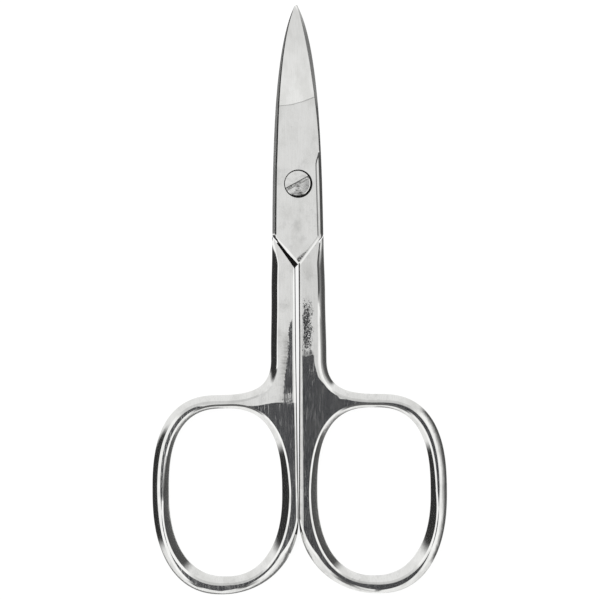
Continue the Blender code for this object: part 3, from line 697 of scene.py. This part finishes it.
def eased(value, start, end, low=0.0, high=1.0):
    """Goes smoothly from low to high as value goes from start to end."""
    inputs = {0: value, 1: start, 2: end, 3: low, 4: high}
    return wire_in("MapRange", inputs, interpolation_type="SMOOTHSTEP").outputs[0]


def within(value, start, full, fade, end):
    """Rises to 1 as value goes from start to full, and falls back to 0 from fade to end."""
    return times(eased(value, start, full), eased(value, end, fade))


def grain(place, stretch, detail=3.0, rough=0.55):
    """A noise value over place, in millimetres, with stretch lines per millimetre along each axis."""
    scaled = vectors("MULTIPLY", place, stretch)
    inputs = {"Vector": scaled, "Scale": 1.0, "Detail": detail, "Roughness": rough}
    return wire_in("TexNoise", inputs).outputs[0]


def blended(share, first, second):
    """The first colour, turning into the second as share goes from 0 to 1."""
    return wire_in("Mix", {0: share, 6: first, 7: second}, data_type="RGBA").outputs[2]


def bumped(height, strength, depth, **normal):
    inputs = {"Strength": strength, "Distance": depth, "Height": height, **normal}
    return wire_in("Bump", inputs).outputs[0]


def new_finish(name):
    """A metal's material, its node tree, its shader, and the place on the pair in millimetres."""
    made = bpy.data.materials.new(name)
    made.use_nodes = True
    tree = made.node_tree
    held = wire_in("TexCoord", tree=tree).outputs["Object"]
    return made, tree, tree.nodes["Principled BSDF"], vectors("MULTIPLY", held, (1 / MM,) * 3)


# Colours of the finish, then how many lines of each pattern there are per millimetre across, along and up.
STEEL_GRAZED = (0.27, 0.27, 0.28, 1)
STEEL_LIGHT = (0.94, 0.94, 0.925, 1)
STEEL_DULL = (0.8, 0.8, 0.78, 1)
PIT_DARK = (0.2, 0.2, 0.2, 1)
SOIL_AND_SHADE_DARK = (0.022, 0.021, 0.02, 1)
LAP_SHADE_STREAK = (0.066, 0.063, 0.06, 1)
POLISH_LEAN = tan(radians(3))
BRUSH_LINES = (9, 0.22, 3)
FINE_BRUSH_LINES = (26, 0.8, 8)
CLOUDS = (0.5, 0.28, 0.5)
PITS = (3.2, 3.2, 3.2)
SMUDGES = (0.4, 0.33, 0.4)
WHEEL_STREAKS = (8, 0.35, 8)
RUB_SMEAR = (0.7, 4.2, 0.7)
STRIP_SPECKLES = (5.5, 5.5, 5.5)
HAZE_RIPPLES = (0.6, 4.5, 0.6)
MILLING_MARKS = (1.5, 5, 9)
SMUDGE_SHADE = 0.16
PIT_SHADE = 0.6
PIT_ROUGHNESS = 0.2
HANDLED_ROUGHNESS = 0.07
BRUSH_RELIEF, FINE_BRUSH_RELIEF = 0.6, 0.3
PLATE_RELIEF = 0.0012 * MM
MILLED_RELIEF = 0.01 * MM
SPECKLE_LOSS = 0.52
LAND_TOP_MM = THICKNESS / MM


def on_land(axes):
    """1 on the flat land that faces up, 0 below it."""
    return eased(axes[2], LAND_TOP_MM - 0.1, LAND_TOP_MM - 0.05)


def plated_steel(name, worn_side, soiled_and_shaded):
    """Bright plate over brushed steel: fine lines along the blade, faint clouding, pits and rub marks. The
    land leans a little where the polishing wheel took more of it, which worn_side places, and the last
    argument places the near-black painted shade of the joint and its corners, with some darker mottling.
    Places are in millimetres, right and up from the pair's middle and off the paper."""
    made, tree, surface, place = new_finish(name)
    surface.inputs["Specular Tint"].default_value = STEEL_GRAZED
    axes = split(place)
    normal = wire_in("NewGeometry", tree=tree).outputs["Normal"]
    brush = grain(place, BRUSH_LINES)
    fine_brush = grain(place, FINE_BRUSH_LINES, 2)
    cloud = grain(place, CLOUDS, 4)
    pits = eased(grain(place, PITS, 2, 0.8), 0.715, 0.76)
    smudge = eased(grain(place, SMUDGES, 4, 0.7), 0.5, 0.68)
    smudge = times(smudge, SMUDGE_SHADE, eased(axes[1], 27.0, 23.0))

    colour = blended(eased(cloud, 0.42, 0.72, 0.0, 0.8), STEEL_LIGHT, STEEL_DULL)
    colour = blended(eased(brush, 0.42, 0.72, 0.0, 0.45), colour, STEEL_DULL)
    colour = blended(highest(times(pits, PIT_SHADE), smudge), colour, PIT_DARK)
    # Painted shade in the joint and its corners, and darker mottling, draw the colour toward near black.
    soil_and_shade = soiled_and_shaded(place, axes)
    tree.links.new(blended(soil_and_shade, colour, SOIL_AND_SHADE_DARK), surface.inputs["Base Color"])
    tree.links.new(eased(soil_and_shade, 0.4, 1.0, 1.0, 0.5), surface.inputs["Metallic"])

    handled = times(eased(split(normal)[2], 0.8, 0.6), eased(axes[1], -17.0, -20.0))
    rough = summed(
        eased(cloud, 0.3, 0.75, 0.065, 0.09),
        eased(fine_brush, 0.45, 0.8, 0.0, 0.03),
        times(pits, PIT_ROUGHNESS),
        eased(soil_and_shade, 0.55, 1.0, 0.0, 0.4),
        times(handled, HANDLED_ROUGHNESS),
    )
    tree.links.new(rough, surface.inputs["Roughness"])

    streak = eased(grain(place, WHEEL_STREAKS, 3, 0.8), 0.4, 0.7, 1.0, 0.42)
    lean = times(worn_side(place, axes), streak)
    push = wire_in("VectorMath", {0: (POLISH_LEAN, 0, 0), "Scale": lean}, operation="SCALE").outputs[0]
    turn = {"vector_type": "VECTOR", "convert_from": "OBJECT", "convert_to": "WORLD"}
    push = wire_in("VectorTransform", {0: push}, **turn).outputs[0]
    leaned = vectors("NORMALIZE", vectors("ADD", normal, push))
    relief = summed(times(brush, BRUSH_RELIEF), times(fine_brush, FINE_BRUSH_RELIEF))
    tree.links.new(bumped(relief, 0.5, PLATE_RELIEF, Normal=leaned), surface.inputs["Normal"])
    return made


def rub_side(place, axes):
    """How far a place on the back half's land is to the right of the rubbed strip's left side."""
    left = summed(
        eased(axes[1], -2.4, -5.2, -0.98, -1.5),
        eased(axes[1], -6.0, -15.5, 0.0, -0.9),
        eased(grain(place, RUB_SMEAR, 3, 0.7), 0.3, 0.7, -0.12, 0.12),
    )
    return less(axes[0], left)


def back_wear(place, axes):
    """A tapering strip beside the slit, feathered into the land, which widens into the web of the bow."""
    speckle = grain(place, STRIP_SPECKLES, 3, 0.75)
    past = rub_side(place, axes)
    feather = summed(eased(past, -0.3, 0.2), eased(speckle, 0.35, 0.65, -0.25, 0.25))
    strip = times(
        eased(feather, 0.2, 0.8),
        eased(past, -0.4, -0.1),
        eased(axes[0], -0.92, -1.0),
        eased(axes[1], -2.6, -3.4),
    )
    web_line = less(axes[1], eased(axes[0], -7.2, -3.1, -0.5, 0.0))
    web = eased(web_line, -15.62, -15.78)
    speckled = times(
        within(axes[1], -13.9, -14.6, -15.4, -16.6),
        eased(axes[0], -2.9, -2.1),
        eased(speckle, 0.34, 0.6),
        SPECKLE_LOSS,
    )
    return less(highest(strip, web), speckled)


def joint_shade(axes, turned):
    """Painted shade on the strip of the contact face in front of the shoulder, in the gap between the halves.
    """
    side = -1 if turned else 1
    middle = HALF_THICKNESS / MM
    height = less(middle, axes[2]) if turned else less(axes[2], middle)
    across = (-side * sin(SHOULDER_ANGLE), cos(SHOULDER_ANGLE), 0)
    out = vectors("DOT_PRODUCT", flattened(axes[0], axes[1]), across)
    corner_y = (PIVOT_Y - SHOULDER_CORNER_BELOW) / MM
    shoulder = corner_y * cos(SHOULDER_ANGLE) - SHOULDER_HALF_WIDTH / MM * sin(SHOULDER_ANGLE)
    return times(
        within(less(out, shoulder), -0.06, -0.02, 0.8, 1.1),
        within(height, 0.0, 0.02, 0.05, 0.09),
        eased(axes[1], corner_y - 0.7, corner_y - 1.1),
    )


def back_soil_and_shade(place, axes):
    """The joint's strip of painted shade, and a rippled haze on the land beside the slit."""
    haze = times(
        within(rub_side(place, axes), -1.3, -0.1, -0.15, 0.05),
        eased(axes[1], -4.0, -7.0),
        eased(axes[1], -9.5, -14.0, 1.0, 0.3),
        eased(axes[1], -15.6, -15.2),
        eased(grain(place, HAZE_RIPPLES, 3, 0.7), 0.36, 0.64, 0.25, 0.52),
        on_land(axes),
    )
    return highest(haze, joint_shade(axes, True))


def lap_shade(name):
    """Steel as milled inside the joint and the screw's seat, coloured near black as painted shade, with
    lighter milling streaks.
    """
    made, tree, surface, place = new_finish(name)
    surface.inputs["Metallic"].default_value = 0.6
    streak = grain(place, MILLING_MARKS, 4)
    tinted = blended(eased(streak, 0.45, 0.75), SOIL_AND_SHADE_DARK, LAP_SHADE_STREAK)
    tree.links.new(tinted, surface.inputs["Base Color"])
    tree.links.new(eased(streak, 0.3, 0.8, 0.45, 0.7), surface.inputs["Roughness"])
    tree.links.new(bumped(streak, 0.4, MILLED_RELIEF), surface.inputs["Normal"])
    return made


# Which faces get the near-black painted shade finish, by the part of their normal that points up.
UPRIGHT_TILT = 0.3
LAP_EDGE_TILT = -0.5
SLANTING_EDGE_TILT = -0.9
SLIT_SHADE_TILT = cos(radians(35))
SLIT_SHADE_REACH = 0.85 * MM
CREVICE_REACH = 2.3 * MM
CREVICE_HALF_WIDTH = CREVICE_REACH / 3
STOP_SHADE_REACH = 1.5 * MM


def shade_lap_faces(piece, turned):
    """Gives the near-black painted shade finish to the faces inside the joint: the slanting edge, the
    shoulder, and the sides of the slit down to the crevice below the stop."""
    side = -1 if turned else 1
    for face in piece.data.polygons:
        x = face.center.x * side
        y = face.center.y - PIVOT_Y
        z = (face.center.z - HALF_THICKNESS) * side
        flatness = abs(face.normal.z)
        in_joint = -LAP_END_BELOW - OVERRUN < y < -LAP_CORNER_BELOW + 2 * OVERRUN
        lowest = SLANTING_EDGE_TILT if y < -LAP_CORNER_BELOW - OVERRUN else LAP_EDGE_TILT
        lap_edge = lowest < face.normal.z * side < UPRIGHT_TILT and x < -SLIT_WIDTH / 4 and z > 0
        shoulder = flatness < UPRIGHT_TILT < face.normal.y and x > -SLIT_WIDTH
        shoulder = shoulder and -HALF_THICKNESS < z < CONTACT_FACE
        beside_slit = STOP_START_BELOW + STOP_SHADE_REACH > -y > STEP_FOOT_BELOW - SLIT_WIDTH
        slit = beside_slit and abs(x) < SLIT_SHADE_REACH
        crevice = STOP_END_BELOW + CREVICE_REACH > -y > STOP_START_BELOW and abs(x) < CREVICE_HALF_WIDTH
        if in_joint and (lap_edge or shoulder) or flatness < SLIT_SHADE_TILT and (slit or crevice):
            face.material_index = 1


def finished(piece, *finishes):
    piece.data.materials.clear()
    for finish in finishes:
        piece.data.materials.append(finish)


back_half = forged_half("back_half_forging", BACK_WORK)
cut(back_half, bored(THREAD_BORE_DIAMETER, -OVERRUN, HALF_THICKNESS + OVERRUN))
seat_in_pair(back_half, True)
back_plate = plated_steel("back_half_plate", back_wear, back_soil_and_shade)
# The second finish is the near-black painted shade of the faces inside the joint.
finished(back_half, back_plate, lap_shade("back_half_lap_shade"))
shade_lap_faces(back_half, True)
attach(back_half, "back_half")
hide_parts("back_half")

# The front half is the same forging with the shank and bow on the right and its ricasso on top. It is
# counterbored for the screw's head, and its bow and lower shank carry the brighter polish of the pair.
SCREW_HEAD_DIAMETER = 3.9 * MM
SEAT_CLEARANCE = 0.22 * MM
SEAT_DEPTH = 0.9 * MM
NECK_BORE_DIAMETER = 2.2 * MM
SEAT_DRIFT = (0.13 * MM, -0.06 * MM)
FRONT_WORK = {
    "offset": -SLIT_OFFSET,
    "curl_way": 1,
    "ramp_start": 7.1 * MM,
    "shank_bevel": 0.19 * MM,
    "fork_bevel": 0.42 * MM,
    "bow_side": (0.32, 0.13),
    "bow_flatter": radians(3.5),
    "opening_side": (0.33, 0.1),
    "opening_inner": (0.375, 0.1),
}
SHANK_SPECKLES = (5.5, 3.6, 5.5)
SPECKLE_DRIFT = (0.9, 0.4, 0.9)
BAND_DRIFT = (0.9, 0.5, 0.9)
BAND_SMEAR = (2.2, 2.2, 2.2)
CORNER_SPECKLES = (4.5, 7.0, 4.5)
BAND_DEPTH = 0.9
SPECKLED_SHADE = 0.42
DULL_SHADE = 0.09
RICASSO_TOP_MM = (HALF_THICKNESS + RICASSO_FACE) / MM


def speckled_patch(place, axes):
    """A patch of fine speckles down the middle of the front shank, feathered on its right."""
    fine = grain(place, SHANK_SPECKLES, 4, 0.85)
    drift = grain(place, SPECKLE_DRIFT, 2)
    x = summed(axes[0], eased(drift, 0.3, 0.7, -0.25, 0.25))
    patch = times(
        within(x, 0.5, 0.95, 1.3, 2.6),
        eased(axes[1], 1.4, -2.6),
        eased(axes[1], -6.8, -7.9, 1.0, 0.5),
    )
    speckled = summed(patch, eased(fine, 0.36, 0.64, -0.8, 0.3))
    speckled = times(eased(speckled, 0.0, 0.8), eased(patch, 0.02, 0.25))
    band = times(
        eased(axes[1], -7.7, -8.2, 0.0, BAND_DEPTH),
        eased(fine, 0.3, 0.6, 0.5, 1.0),
        within(x, 0.6, 0.9, 2.0, 2.5),
        BAND_DEPTH,
    )
    speckled = highest(speckled, band)
    return times(speckled, eased(axes[1], -8.9, -8.5), on_land(axes))


def front_wear(place, axes):
    """The core of the speckled patch, a smeared band under it, then the land from the lower shank down."""
    core = eased(speckled_patch(place, axes), 0.35, 0.85, 0.0, 0.95)
    core = times(core, eased(axes[1], -8.0, -7.6))
    drift = grain(place, BAND_DRIFT, 2)
    top = summed(axes[1], eased(drift, 0.3, 0.7, -0.2, 0.2))
    smear = eased(grain(place, BAND_SMEAR, 3, 0.7), 0.35, 0.65, 0.46, 0.6)
    band = times(smear, eased(top, -7.6, -7.9), within(axes[0], 0.6, 0.8, 1.9, 2.3))
    right_limit = summed(
        eased(axes[1], -9.0, -13.0, 2.36, 3.1),
        eased(axes[1], -11.6, -15.8, 0.0, 3.3),
        eased(axes[1], -15.2, -16.0, 0.0, 30.0),
    )
    land = times(
        eased(less(right_limit, axes[0]), -0.08, 0.08),
        eased(axes[0], 0.52, 0.6),
        eased(top, -8.35, -8.9),
    )
    return highest(core, band, land)


def front_soil_and_shade(place, axes):
    """The joint's strip of painted shade, mottled painted shade in the step's foot, the speckled patch,
    painted shade on the lap's left corner over the halves' gap, and a slight dullness of the shank's land."""
    rise = (STEP_FOOT_BELOW - STEP_TOP_BELOW) / RICASSO_EDGE_HALF_WIDTH
    slant = wire_in("Math", {0: axes[0], 1: -rise, 2: axes[1]}, operation="MULTIPLY_ADD").outputs[0]
    past_step = less(slant, (PIVOT_Y - STEP_FOOT_BELOW) / MM)
    # Mottled painted shade along the concave corner where the ricasso's face meets the foot of the step.
    reach = eased(axes[0], -0.3, 1.9, 1.2, 0.25)
    corner = times(
        eased(less(reach, past_step), 0.0, 0.4),
        eased(grain(place, CORNER_SPECKLES, 3, 0.8), 0.36, 0.54, 0.25, 0.9),
        eased(past_step, -0.02, 0.06),
        eased(axes[2], RICASSO_TOP_MM - 0.06, RICASSO_TOP_MM - 0.02),
        eased(axes[0], -0.35, -0.1),
    )
    lap_corner_y = (PIVOT_Y - LAP_CORNER_BELOW) / MM
    # Painted shade on the ricasso's left corner at the lap, over the gap between the halves.
    lap_corner_shade = times(
        eased(axes[0], -3.0, -3.15),
        eased(axes[2], RICASSO_TOP_MM - 0.03, RICASSO_TOP_MM - 0.09),
        eased(axes[1], lap_corner_y + 0.3, lap_corner_y + 0.05, 0.0, 0.97),
    )
    speckled = times(speckled_patch(place, axes), SPECKLED_SHADE)
    dull = times(eased(past_step, -0.1, -0.4), on_land(axes), DULL_SHADE)
    return highest(corner, speckled, lap_corner_shade, dull, joint_shade(axes, False))


def shade_seat_faces(piece):
    """Gives the near-black painted shade finish to the wall and floor of the screw's seat."""
    for face in piece.data.polygons:
        out = hypot(face.center.x, face.center.y - PIVOT_Y)
        deep = face.center.z < HALF_THICKNESS + RICASSO_FACE - JOIN_OVERLAP
        if out < SCREW_HEAD_DIAMETER / 2 + 2 * SEAT_CLEARANCE and deep:
            face.material_index = 1


front_half = forged_half("front_half_forging", FRONT_WORK)
seat_diameter = SCREW_HEAD_DIAMETER + 2 * SEAT_CLEARANCE
cut(front_half, bored(seat_diameter, RICASSO_FACE - SEAT_DEPTH, HALF_THICKNESS + OVERRUN, SEAT_DRIFT))
cut(front_half, bored(NECK_BORE_DIAMETER, -OVERRUN, RICASSO_FACE))
seat_in_pair(front_half, False)
front_plate = plated_steel("front_half_plate", front_wear, front_soil_and_shade)
# The second finish is the near-black painted shade of the faces inside the joint and the screw's seat.
finished(front_half, front_plate, lap_shade("front_half_lap_shade"))
shade_lap_faces(front_half, False)
shade_seat_faces(front_half)
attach(front_half, "front_half")
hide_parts("front_half")

# The pivot screw is turned from steel bar, slotted across its low domed head and plated. It is driven from
# the front through the front half into the back half's thread, and its head sits just below the ricasso.
HEAD_UNDER_GAP = 0.03 * MM
HEAD_RIM_SINK = 0.08 * MM
HEAD_DOME = 0.04 * MM
HEAD_RIM_BREAK = 0.09 * MM
SCREW_NECK_DIAMETER = 2.1 * MM
SCREW_THREAD_DIAMETER = 1.9 * MM
SCREW_END_SINK = 0.06 * MM
SCREW_END_CHAMFER = 0.15 * MM
SLOT_WIDTH = 0.46 * MM
SLOT_DEPTH = 0.45 * MM
SLOT_ANGLE = radians(28)
DOME_STEPS = 14
LATHE_RINGS = (14, 1, 1)
HEAD_RUBS = (1.3, 2.2, 1)
HEAD_STREAKS = (0.9, 7.0, 0.9)
BLOTCH_WANDER = (1.2, 2.6, 1.2)
FLOOR_STREAKS = (3.0, 6.0, 3.0)
BLOTCH_ASIDE = 0.08
LOW_LINE_SHADE = 0.55
MARK_SHADE = 0.92
SLOT_ROUGHNESS = 0.25
LATHE_RELIEF = 0.002 * MM


def turned_screw():
    """The screw, turned about Z from its profile, whose heights are from the joint's middle plane."""
    under = RICASSO_FACE - SEAT_DEPTH + HEAD_UNDER_GAP
    rim = RICASSO_FACE - HEAD_RIM_SINK
    head, neck, thread = (d / 2 for d in (SCREW_HEAD_DIAMETER, SCREW_NECK_DIAMETER, SCREW_THREAD_DIAMETER))
    end = -RICASSO_FACE + SCREW_END_SINK
    profile = [
        (0, end),
        (thread - SCREW_END_CHAMFER, end),
        (thread, end + SCREW_END_CHAMFER),
        (thread, CONTACT_FACE),
        (neck, CONTACT_FACE + neck - thread),
        (neck, under),
        (head, under),
        (head, rim - HEAD_RIM_BREAK / 2),
    ]
    face = head - HEAD_RIM_BREAK
    for step in range(DOME_STEPS + 1):
        out = face * (1 - step / DOME_STEPS)
        profile.append((out, rim + HEAD_DOME * (1 - (out / head) ** 2)))
    shell = bmesh.new()
    verts = [shell.verts.new((x, 0, z)) for x, z in profile]
    edges = [shell.edges.new(pair) for pair in zip(verts, verts[1:])]
    bmesh.ops.spin(
        shell, geom=verts + edges, cent=(0, 0, 0), axis=(0, 0, 1), angle=2 * pi, steps=TURN_STEPS
    )
    bmesh.ops.remove_doubles(shell, verts=shell.verts, dist=JOIN_OVERLAP / 10)
    return mesh_of("turned_screw", shell)


def driver_slot():
    top = RICASSO_FACE - HEAD_RIM_SINK + HEAD_DOME
    along = Vector((cos(SLOT_ANGLE), sin(SLOT_ANGLE))) * SCREW_HEAD_DIAMETER
    across = Vector((-sin(SLOT_ANGLE), cos(SLOT_ANGLE))) * SLOT_WIDTH / 2
    outline = [-along - across, along - across, along + across, -along + across]
    return milled(outline, top - SLOT_DEPTH, top + OVERRUN)


def turned_plate(name):
    """Plated screw steel with the fine rings of the lathe, a painted shadow along each wall of the slot,
    dark streaks on its floor, painted shade along the lower edge of the head, and a smudge fanning down
    from the slot. Places are in millimetres from the screw's middle."""
    made, tree, surface, held = new_finish(name)
    surface.inputs["Metallic"].default_value = 1
    place = vectors("ADD", held, (0, -PIVOT_Y / MM, 0))
    axes = split(place)
    flat = flattened(axes[0], axes[1])
    rings = grain(flattened(vectors("LENGTH", flat)), LATHE_RINGS, 3)
    rubs = grain(place, HEAD_RUBS, 4)

    across = vectors("DOT_PRODUCT", flat, (-sin(SLOT_ANGLE), cos(SLOT_ANGLE), 0))
    # Painted shadows of the slot's walls: a dark band along the upper wall and a fainter one along the lower.
    slot_wall_shadow = within(across, 0.13, 0.19, 0.24, 0.29)
    low_wall_shadow = times(within(across, -0.3, -0.26, -0.21, -0.17), LOW_LINE_SHADE)
    aside = worked("ABSOLUTE", less(axes[0], BLOTCH_ASIDE))
    fan = less(eased(axes[1], -0.9, -1.9, 0.2, 0.95), aside)
    wander = eased(grain(place, BLOTCH_WANDER, 3, 0.7), 0.3, 0.7, -0.3, 0.3)
    blotch = times(
        eased(summed(fan, wander), -0.2, 0.22),
        eased(axes[1], 0.0, -0.4),
        eased(grain(place, HEAD_STREAKS, 3, 0.75), 0.4, 0.56, 0.2, 1.0),
    )
    # Painted shade along the lower edge of the head, beside the seat.
    rim_shade = eased(axes[1], -1.72, -1.92)
    in_slot = eased(axes[2], 2.86, 2.68)
    floor = eased(grain(place, FLOOR_STREAKS, 3, 0.7), 0.4, 0.6, 0.0, 0.8)
    marks = highest(slot_wall_shadow, low_wall_shadow, blotch, rim_shade, times(in_slot, floor))
    marks = times(marks, eased(axes[2], 2.4, 2.5), MARK_SHADE)

    shade = blended(eased(rubs, 0.4, 0.75), STEEL_LIGHT, STEEL_DULL)
    tree.links.new(blended(marks, shade, SOIL_AND_SHADE_DARK), surface.inputs["Base Color"])
    rough = summed(eased(rubs, 0.3, 0.8, 0.12, 0.22), times(in_slot, SLOT_ROUGHNESS))
    tree.links.new(rough, surface.inputs["Roughness"])
    tree.links.new(bumped(rings, 0.5, LATHE_RELIEF), surface.inputs["Normal"])
    return made


screw = new_piece("slotted_screw", turned_screw())
cut(screw, driver_slot())
seat_in_pair(screw, False)
finished(screw, turned_plate("screw_plate"))
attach(screw, "pivot_screw")
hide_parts("pivot_screw")

# The scissors lie on a sheet of white paper under a white tent, which the bright plate mirrors. The tent is
# open to the dark room low down on the left and the right, and the lens looks in through a small gap on top.
PAPER_HALF_SIDE = 0.6
PAPER_WHITE = (0.9, 0.9, 0.9, 1)
PAPER_FIBRES = 900.0
PAPER_RELIEF = 0.02 * MM
PAPER_GLOW = 1.08
PAPER_GLOW_SHARE = 0.84
WHITE = (1, 1, 1, 1)


def paper():
    sheet = bpy.data.meshes.new("paper")
    h = PAPER_HALF_SIDE
    sheet.from_pydata([(-h, -h, 0), (h, -h, 0), (h, h, 0), (-h, h, 0)], [], [(0, 1, 2, 3)])
    made = bpy.data.materials.new("white_paper")
    made.use_nodes = True
    tree = made.node_tree
    tree.nodes.clear()
    path = wire_in("LightPath", tree=tree).outputs
    seen = highest(path["Is Camera Ray"], path["Is Glossy Ray"], path["Is Transmission Ray"])
    held = wire_in("TexCoord", tree=tree).outputs["Object"]
    fibre = wire_in("TexNoise", {"Vector": held, "Scale": PAPER_FIBRES, "Detail": 3.0}).outputs[0]
    relief = bumped(fibre, 0.1, PAPER_RELIEF)
    matt = wire_in("BsdfDiffuse", {"Color": PAPER_WHITE, "Normal": relief}).outputs[0]
    glow = wire_in("Emission", {"Color": WHITE, "Strength": PAPER_GLOW}, tree).outputs[0]
    share = times(seen, PAPER_GLOW_SHARE)
    shown = wire_in("MixShader", {0: share, 1: matt, 2: glow}).outputs[0]
    end = wire_in("OutputMaterial", {0: shown})
    end.is_active_output = True
    sheet.materials.append(made)
    return new_piece("paper", sheet)


paper()

# How bright each side of the tent is, as (height, level) from the paper, 0, to straight overhead, 1.
TENT_WHITE = 1.0
TENT_TOP = 0.75
ABOVE = [(0.82, TENT_WHITE), (0.94, TENT_TOP), (1.0, TENT_TOP)]
ALL_ROUND = [(0.0, 0.84), (0.3, 0.86), (0.42, TENT_WHITE), *ABOVE]
BACK_SIDE = [(0.0, 0.84), (0.35, 0.8), (0.5, 0.6), (0.8, 0.66), (0.94, TENT_TOP), (1.0, TENT_TOP)]
LEFT_SIDE = [(0.0, 0.19), (0.055, 0.17), (0.075, 0.032), (0.33, 0.032), (0.375, TENT_WHITE), *ABOVE]
RIGHT_SIDE = [(0.0, 0.16), (0.1, 0.09), (0.16, 0.07), (0.21, 0.13), (0.25, 0.42), (0.276, 0.6)]
RIGHT_SIDE += [(0.31, TENT_WHITE), *ABOVE]
FRONT_SIDE = [(0.0, TENT_WHITE), (0.3, 0.9), (0.37, 0.12), (0.6, 0.14), (0.7, 0.68), (0.93, 0.73)]
FRONT_SIDE += [(0.976, 0.82), (0.99, 0.9), (0.996, TENT_TOP), (1.0, TENT_TOP)]
FRONT_RIM_LEVEL = 0.16
SEAM_LEVEL = 0.42
ROOM_GREY = (0.8, 0.8, 0.8, 1)
GAP_WAY = (0.105, -0.015, 0.994)
GAP_DARK = (0.052, 0.053, 0.058, 1)


def stops(value, levels):
    """A smooth curve through (position, level) pairs, for positions from 0 to 1."""
    made = wire_in("ValToRGB", {0: value})
    made.color_ramp.interpolation = "EASE"
    points = made.color_ramp.elements
    while len(points) < len(levels):
        points.new(0.5)
    for point, (position, level) in zip(points, levels):
        point.position = position
        point.color = (level, level, level, 1)
    return made.outputs[0]


def mixed(share, first, second):
    """The first level, turning into the second as share goes from 0 to 1."""
    return wire_in("Mix", {0: share, 2: first, 3: second}).outputs[0]


def tent():
    """The tent as the plate mirrors it. A lens sees plain white, and plain surfaces get an even light."""
    made = bpy.data.worlds.new("white_tent")
    made.use_nodes = True
    tree = made.node_tree
    tree.nodes.clear()
    looking = wire_in("TexCoord", tree=tree).outputs["Generated"]
    side, along, up = split(looking)
    heading = split(vectors("NORMALIZE", flattened(side, along)))
    turning = summed(heading[1], eased(up, 0.08, 0.26, 0.14, -0.07))
    to_back = eased(heading[1], 0.68, 0.86)
    to_left = times(
        eased(heading[0], -0.3, -0.6),
        eased(heading[1], -0.4, -0.26),
        eased(turning, 0.5, 0.3),
    )
    to_right = eased(heading[0], 0.3, 0.6)
    to_right = times(to_right, within(heading[1], -0.52, -0.4, 0.6, 0.76))
    to_front = eased(heading[1], -0.78, -0.92)

    shade = stops(up, ALL_ROUND)
    sides = ((to_back, BACK_SIDE), (to_left, LEFT_SIDE), (to_right, RIGHT_SIDE), (to_front, FRONT_SIDE))
    for share, levels in sides:
        shade = mixed(share, shade, stops(up, levels))
    front_rim = times(eased(heading[1], -0.25, -0.45), eased(up, 0.16, 0.11))
    shade = mixed(front_rim, shade, FRONT_RIM_LEVEL)
    seam = times(
        within(along, -0.046, -0.062, -0.108, -0.128),
        eased(worked("ABSOLUTE", side), 0.1, 0.06),
        eased(up, 0.6, 0.8),
    )
    shade = mixed(seam, shade, SEAM_LEVEL)
    off = vectors("DISTANCE", looking, GAP_WAY)
    mirrored = blended(eased(off, 0.07, 0.058), shade, GAP_DARK)

    path = wire_in("LightPath", tree=tree).outputs
    plain = blended(path["Is Glossy Ray"], ROOM_GREY, mirrored)
    white = highest(path["Is Camera Ray"], path["Is Transmission Ray"])
    shown = blended(white, plain, WHITE)
    wire_in("OutputWorld", {0: wire_in("Background", {0: shown, 1: 1.0}).outputs[0]})
    made.cycles.sampling_method = "NONE"
    return made


bpy.context.scene.world = tent()

# One soft lamp hangs high up on the left, beyond the blades, and adds a little to the tent's even light. It
# is drawn as a square panel that the plate doesn't mirror and the camera doesn't see.
LAMP_SIDE = 0.5
LAMP_PLACE = (-0.28, 0.3, 0.9)
LAMP_POWER = 2.6

lamp = bpy.data.lights.new("soft_lamp", "AREA")
lamp.size = LAMP_SIDE
lamp.energy = LAMP_POWER
soft_lamp = bpy.data.objects.new("soft_lamp", lamp)
soft_lamp.location = LAMP_PLACE
soft_lamp.rotation_mode = "QUATERNION"
soft_lamp.rotation_quaternion = Vector(LAMP_PLACE).to_track_quat("Z", "Y")
soft_lamp.visible_glossy = False
soft_lamp.visible_camera = False
bpy.context.scene.collection.objects.link(soft_lamp)

# The camera hangs straight over the pair, square to the paper, and is rolled by under half a degree. From
# its height the pair shows almost no perspective, and it fills the picture from tip to bow.
LENS_HEIGHT = 1.6
FRAME_SIDE = 0.09186
FRAME_CENTRE = (0.00026, -0.00005)
FRAME_ROLL = radians(-0.42)
SENSOR = 36.0
SEEN_FROM, SEEN_TO = 0.1, 10

lens = bpy.data.cameras.new("overhead")
lens.sensor_width = SENSOR
lens.lens = SENSOR * (LENS_HEIGHT - HALF_THICKNESS) / FRAME_SIDE
lens.clip_start, lens.clip_end = SEEN_FROM, SEEN_TO
overhead = bpy.data.objects.new("overhead", lens)
overhead.location = (*FRAME_CENTRE, LENS_HEIGHT)
overhead.rotation_euler = (0, 0, FRAME_ROLL)
bpy.context.scene.collection.objects.link(overhead)
bpy.context.scene.camera = overhead
bpy.context.scene.view_settings.view_transform = "Standard"
